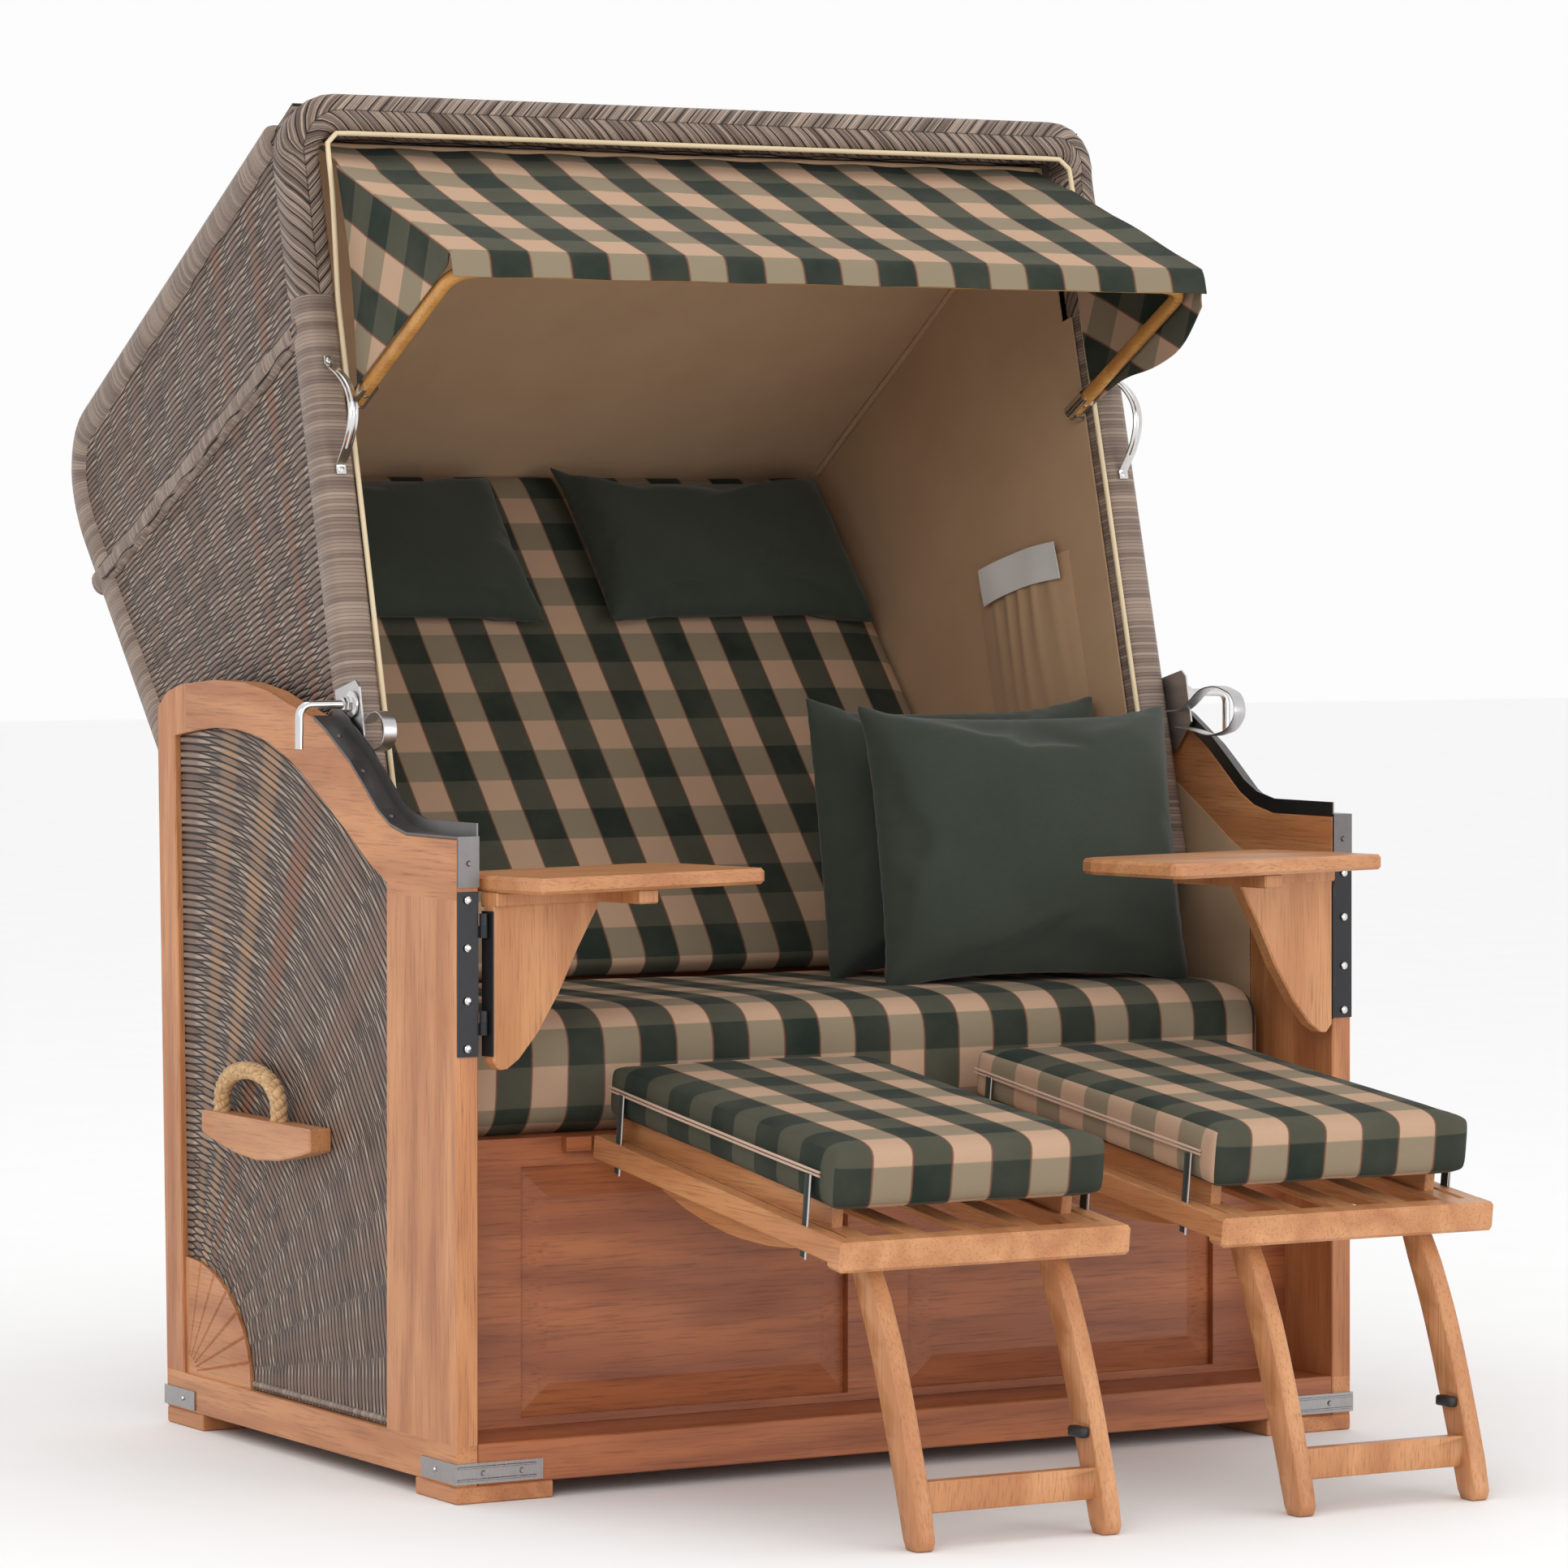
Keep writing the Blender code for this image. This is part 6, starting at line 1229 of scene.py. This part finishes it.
# chromed grab handles on the posts
grabValues = {"low": 0.955, "high": 1.075, "out": 0.050, "strap": 0.0135, "thick": 0.0016, "tab": 0.015,
              "face": 0.0255}
for tag, side in sides:
    work = newWork()
    x, faceY = side * postX, hoodFront - grabValues["face"]
    low, high, tab = grabValues["low"], grabValues["high"], grabValues["tab"]
    arc = [Vector((x, faceY - 0.002, low - tab)), Vector((x, faceY - 0.002, low - 0.004))]
    arc += [Vector((x, faceY - 0.004 - grabValues["out"] * math.sin(math.pi * i / 20) ** 0.75,
                    low + (high - low) * i / 20)) for i in range(1, 20)]
    arc += [Vector((x, faceY - 0.002, high + 0.004)), Vector((x, faceY - 0.002, high + tab))]
    addSweep(work, arc, superRing(grabValues["strap"] / 2, grabValues["thick"], 5.0, 12), upX, 0.004)
    ridge = superRing(grabValues["strap"] * 0.28, grabValues["thick"] * 1.7, 2.0, 10)
    addSweep(work, arc[3:-3], ridge, upX, 0.004)
    for z in (low - 0.009, high + 0.009):
        addScrew(work, (x, faceY - 0.003, z), (0, -1, 0), 0.0042)
    piece("grab_bow_" + tag, work, "bright steel", "hood", hoodPlace, ("grab_handle_" + tag,), 40)

# latch plates with their strip loops: the left one lies folded, the right one stands open
latchLoops = {
    "left": ((0.22, 0.50), (0.02, 0.46), (-0.14, 0.52), (-0.30, 0.50), (-0.42, 0.34), (-0.38, 0.12),
             (-0.20, 0.04), (-0.02, 0.12), (0.12, 0.24)),
    "right": ((0.22, 0.50), (0.0, 0.44), (-0.20, 0.50), (-0.42, 0.60), (-0.70, 0.56), (-0.97, 0.36),
              (-0.99, 0.10), (-0.80, -0.06), (-0.45, -0.04), (-0.15, 0.14), (0.12, 0.26)),
}
latchValues = {"y": -0.512, "low": 0.575, "high": 0.675, "reach": 0.128, "thick": 0.0011, "strip": 0.0090,
               "x": 0.5964, "plateOut": 0.5978, "plateIn": 0.5956}
tongue = [(hoodFront, 0.575), (-0.470, 0.577), (-0.512, 0.604), (-0.514, 0.664), (-0.506, 0.674),
          (hoodFront, 0.675)]
for tag, side in sides:
    work = newWork()
    tall = latchValues["high"] - latchValues["low"]
    x = side * (latchValues["x"] - latchValues["strip"])
    loop = [(x, latchValues["y"] + latchValues["reach"] * a, latchValues["low"] + tall * b)
            for a, b in latchLoops[tag]]
    strip = superRing(latchValues["strip"], latchValues["thick"], 5.0, 12)
    addSweep(work, rounded(loop, 0.018, 6), strip, upX, 0.005)
    out = [work.verts.new((side * latchValues["plateOut"], y, z)) for y, z in tongue]
    back = [work.verts.new((side * latchValues["plateIn"], y, z)) for y, z in tongue]
    work.faces.new(out if side > 0 else out[::-1])
    work.faces.new(back[::-1] if side > 0 else back)
    for i in range(len(tongue)):
        k = (i + 1) % len(tongue)
        quad = (out[i], back[i], back[k], out[k])
        work.faces.new(quad if side > 0 else quad[::-1])
    for y, z in ((-0.462, 0.590), (-0.462, 0.660), (-0.498, 0.640)):
        addScrew(work, (side * latchValues["plateOut"], y, z), (side, 0, 0), 0.0045)
    piece("latch_loop_" + tag, work, "brushed steel", "hood", hoodPlace, ("latch_lever_" + tag,), 40)

# clamp bolts: a threaded disc and a bent lever
clampValues = {"seat": 0.5984, "rod": 0.0052, "reach": 0.6750, "y": 0.01325, "z": 0.92}
for tag, side in sides:
    work = newWork()
    start = Vector((side * clampValues["seat"], clampValues["y"], clampValues["z"]))
    disc = [(0.0, 0.0155), (0.0006, 0.0162), (0.0030, 0.0162), (0.0036, 0.0152)]
    addTurned(work, start, upX * side, disc, 32)
    addTurned(work, start + upX * side * 0.0034, upX * side,
              [(0.0, 0.0095), (0.0060, 0.0095), (0.0070, 0.0085), (0.0105, 0.0085), (0.0112, 0.0075)], 6)
    reach = side * (clampValues["reach"] - clampValues["rod"])
    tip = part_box("clamp_bolt_" + tag)[0][2] + 0.001
    lever = [start + upX * side * 0.010, (reach, start.y, start.z), (reach, start.y, tip)]
    addSweep(work, rounded(lever, 0.016, 10), roundRing(clampValues["rod"], 2.0, 14), upY, 0.004)
    piece("clamp_lever_" + tag, work, "bright steel", "clamp_" + tag, worldPlace, ("clamp_bolt_" + tag,), 40)
print("stage: fittings")

# rope handles, three strands laid together; their blocks stay as the frame has them
ropeValues = {"x": 0.6373, "front": 0.139, "rear": 0.303, "low": 0.4083, "rise": 0.056, "foot": 0.0115,
              "strand": 0.0062, "lay": 0.034}
for tag, side in sides:
    middle = (ropeValues["front"] + ropeValues["rear"]) / 2
    reach = (ropeValues["rear"] - ropeValues["front"]) / 2
    x, low, foot = side * ropeValues["x"], ropeValues["low"], ropeValues["foot"]
    turns = [math.pi * i / 40 for i in range(41)]
    line = [(x, ropeValues["front"], low - 0.004)]
    rise = ropeValues["rise"] - foot
    line += [(x, middle - reach * math.cos(turn), low + foot + rise * math.sin(turn) ** 0.8) for turn in turns]
    line += [(x, ropeValues["rear"], low - 0.004)]
    points, total = evenly(rounded(line, 0.010, 4), 0.004)
    work = newWork()
    for strand in range(3):
        path = []
        for i, here in enumerate(points):
            other = wayAt(points, i).cross(upX)
            turn = 2 * math.pi * (strand / 3 + total * i / (len(points) - 1) / ropeValues["lay"])
            path.append(here + (upX * math.cos(turn) + other * math.sin(turn)) * (ropeValues["strand"] * 0.86))
        addSweep(work, path, roundRing(ropeValues["strand"], 2.0, 12), upX, 0.004)
    piece("rope_grip_" + tag, work, "laid rope", "base", worldPlace, ("rope_handle_" + tag,), 80)

# straps that hold the footrest cushions, thin steel hooks beside them and the zip line
strapValues = {"spots": (-0.050, -0.492), "low": -0.022, "high": 0.072, "wide": 0.014, "thick": 0.0011,
               "wire": 0.0014, "zip": 0.0016, "zipRows": (0.0, 0.0042)}
strapRing = superRing(strapValues["thick"] / 2, strapValues["wide"] / 2, 6.0, 8)
wireRing = roundRing(strapValues["wire"], 2.0, 8)
zipRing = roundRing(strapValues["zip"], 2.0, 8)
low, high, beside = strapValues["low"], strapValues["high"], restValues["wide"] / 2 + 0.0035
for tag, side in sides:
    rest, place = "footrest_" + tag, restPlaces[tag]
    for number, y in enumerate(strapValues["spots"]):
        work = newWork()
        for x in (-beside - 0.0008, beside + 0.0008):
            addSweep(work, [(x, y, low), (x, y, high)], strapRing, upX, 0.01)
        piece("strap_%s_%d" % (tag, number), work, "dark webbing", rest, place, (), 40)
        work = newWork()
        for x in (-beside - 0.0022, beside + 0.0022):
            addSweep(work, [(x, y - 0.008, low - 0.001), (x, y - 0.008, high + 0.002)], wireRing, upX, 0.01)
        piece("strap_wire_%s_%d" % (tag, number), work, "brushed steel", rest, place, (), 40)
    work = newWork()
    for way in (-1, 1):
        x = way * (restValues["wide"] / 2 + 0.0034)
        for lift in strapValues["zipRows"]:
            z = restValues["low"] + 0.031 + lift
            line = [(x - way * 0.002, -0.512, z + 0.003), (x, -0.4, z + 0.0025), (x, -0.15, z + 0.001),
                    (x - way * 0.002, -0.012, z)]
            addSweep(work, line, zipRing, upX, 0.02)
    piece("zip_line_" + tag, work, "zip tape", rest, place, (), 40)
print("stage: rope and straps")

# bright screws of the tray hinges
screwValues = {"x": 0.6174, "y": -0.3298, "low": 0.5185, "tall": 0.1915}
for tag, side in sides:
    work = newWork()
    for share in (0.05, 0.34, 0.66, 0.95):
        spot = (side * screwValues["x"], screwValues["y"], screwValues["low"] + screwValues["tall"] * share)
        addScrew(work, spot, -upY, 0.0046)
    piece("hinge_screws_" + tag, work, "bright steel", "base", worldPlace, (), 40)

# the footrests' legs bow forward a little, and their clips with them
legValues = {"bow": 0.014, "step": 0.02}
for tag, side in sides:
    low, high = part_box("footrest_legs_" + tag)
    for name, node, look, paint in (("bowed_legs_", "footrest_legs_", "leg wood", "wood"),
                                    ("leg_catch_", "leg_clip_", "black plastic", "black_plastic")):
        work = copyOf(node + tag)
        bmesh.ops.remove_doubles(work, verts=work.verts[:], dist=0.00002)
        for i in range(1, int((high[2] - low[2]) / legValues["step"])):
            cutAt(work, 2, low[2] + legValues["step"] * i)
        for vert in work.verts:
            share = max(0.0, min(1.0, (high[2] - vert.co.z) / (high[2] - low[2])))
            vert.co.y -= legValues["bow"] * math.sin(math.pi * share ** 0.8)
        piece(name + tag, work, look, "legs_" + tag, worldPlace, (node + tag,), 30)

# finishes of the parts that stay as the frame has them
keptLooks = {
    "side_frame": "side wood", "bottom_frame": "panel wood", "front_panel": "panel wood",
    "rear_panel": "panel wood", "seat_frame": "panel wood", "rope_block": "rope block wood",
    "hood_arm": "arm wood", "tray_top": "tray wood", "tray_wing": "wing wood",
    "footrest_frame": "rest wood", "footrest_legs": "leg wood", "bracket": "bracket steel",
    "arch_rail": "dull steel", "post_leaf": "black steel", "tray_leaf": "black steel",
    "leg_clip": "black plastic",
}
for name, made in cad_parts.items():
    if made.hide_render:
        continue
    found = [look for key, look in keptLooks.items() if name.startswith(key)]
    for slotOf in made.material_slots:
        slotOf.link = "OBJECT"
        slotOf.material = looks[found[0]]
print("stage: finishes")

# pale floor and soft light
work = newWork()
addGrid(work, 1, 1, lambda s, t: Vector((-30 + 60 * s, -30 + 60 * t, -0.0005)), lambda s, t: (s, t))
floor = piece("floor", work, "bare label", None)
floorLook, tree, shader = newFinish("pale floor", {"Roughness": 0.75, "Specular IOR Level": 0.1})
speck = noise(tree, placeOf(tree), 6.0, 3.0)
dress(tree, shader, tint(tree, speck, (0.93, 0.93, 0.93), (0.96, 0.96, 0.96)))
floor.data.materials[0] = floorLook


def softLight(name, spot, aim, size, power):
    data = bpy.data.lights.new(name, "AREA")
    data.shape = "DISK"
    data.size, data.energy = size, power
    made = bpy.data.objects.new(name, data)
    bpy.context.scene.collection.objects.link(made)
    made.location = spot
    made.rotation_euler = (Vector(aim) - Vector(spot)).to_track_quat("-Z", "Y").to_euler()


softLight("window light", (-4.5, -5.5, 3.4), (0.0, 0.0, 0.9), 2.6, 75.0)
softLight("fill light", (2.2, -6.5, 1.4), (0.0, 0.2, 1.0), 3.2, 70.0)
softLight("top light", (0.0, 0.5, 4.5), (0.0, 0.0, 0.8), 3.0, 20.0)
world = bpy.data.worlds.new("studio")
world.use_nodes = True
backdrop = world.node_tree.nodes["Background"]
backdrop.inputs["Color"].default_value = (1.0, 1.0, 1.0, 1.0)
backdrop.inputs["Strength"].default_value = 0.98
bpy.context.scene.world = world

print("stage: done")
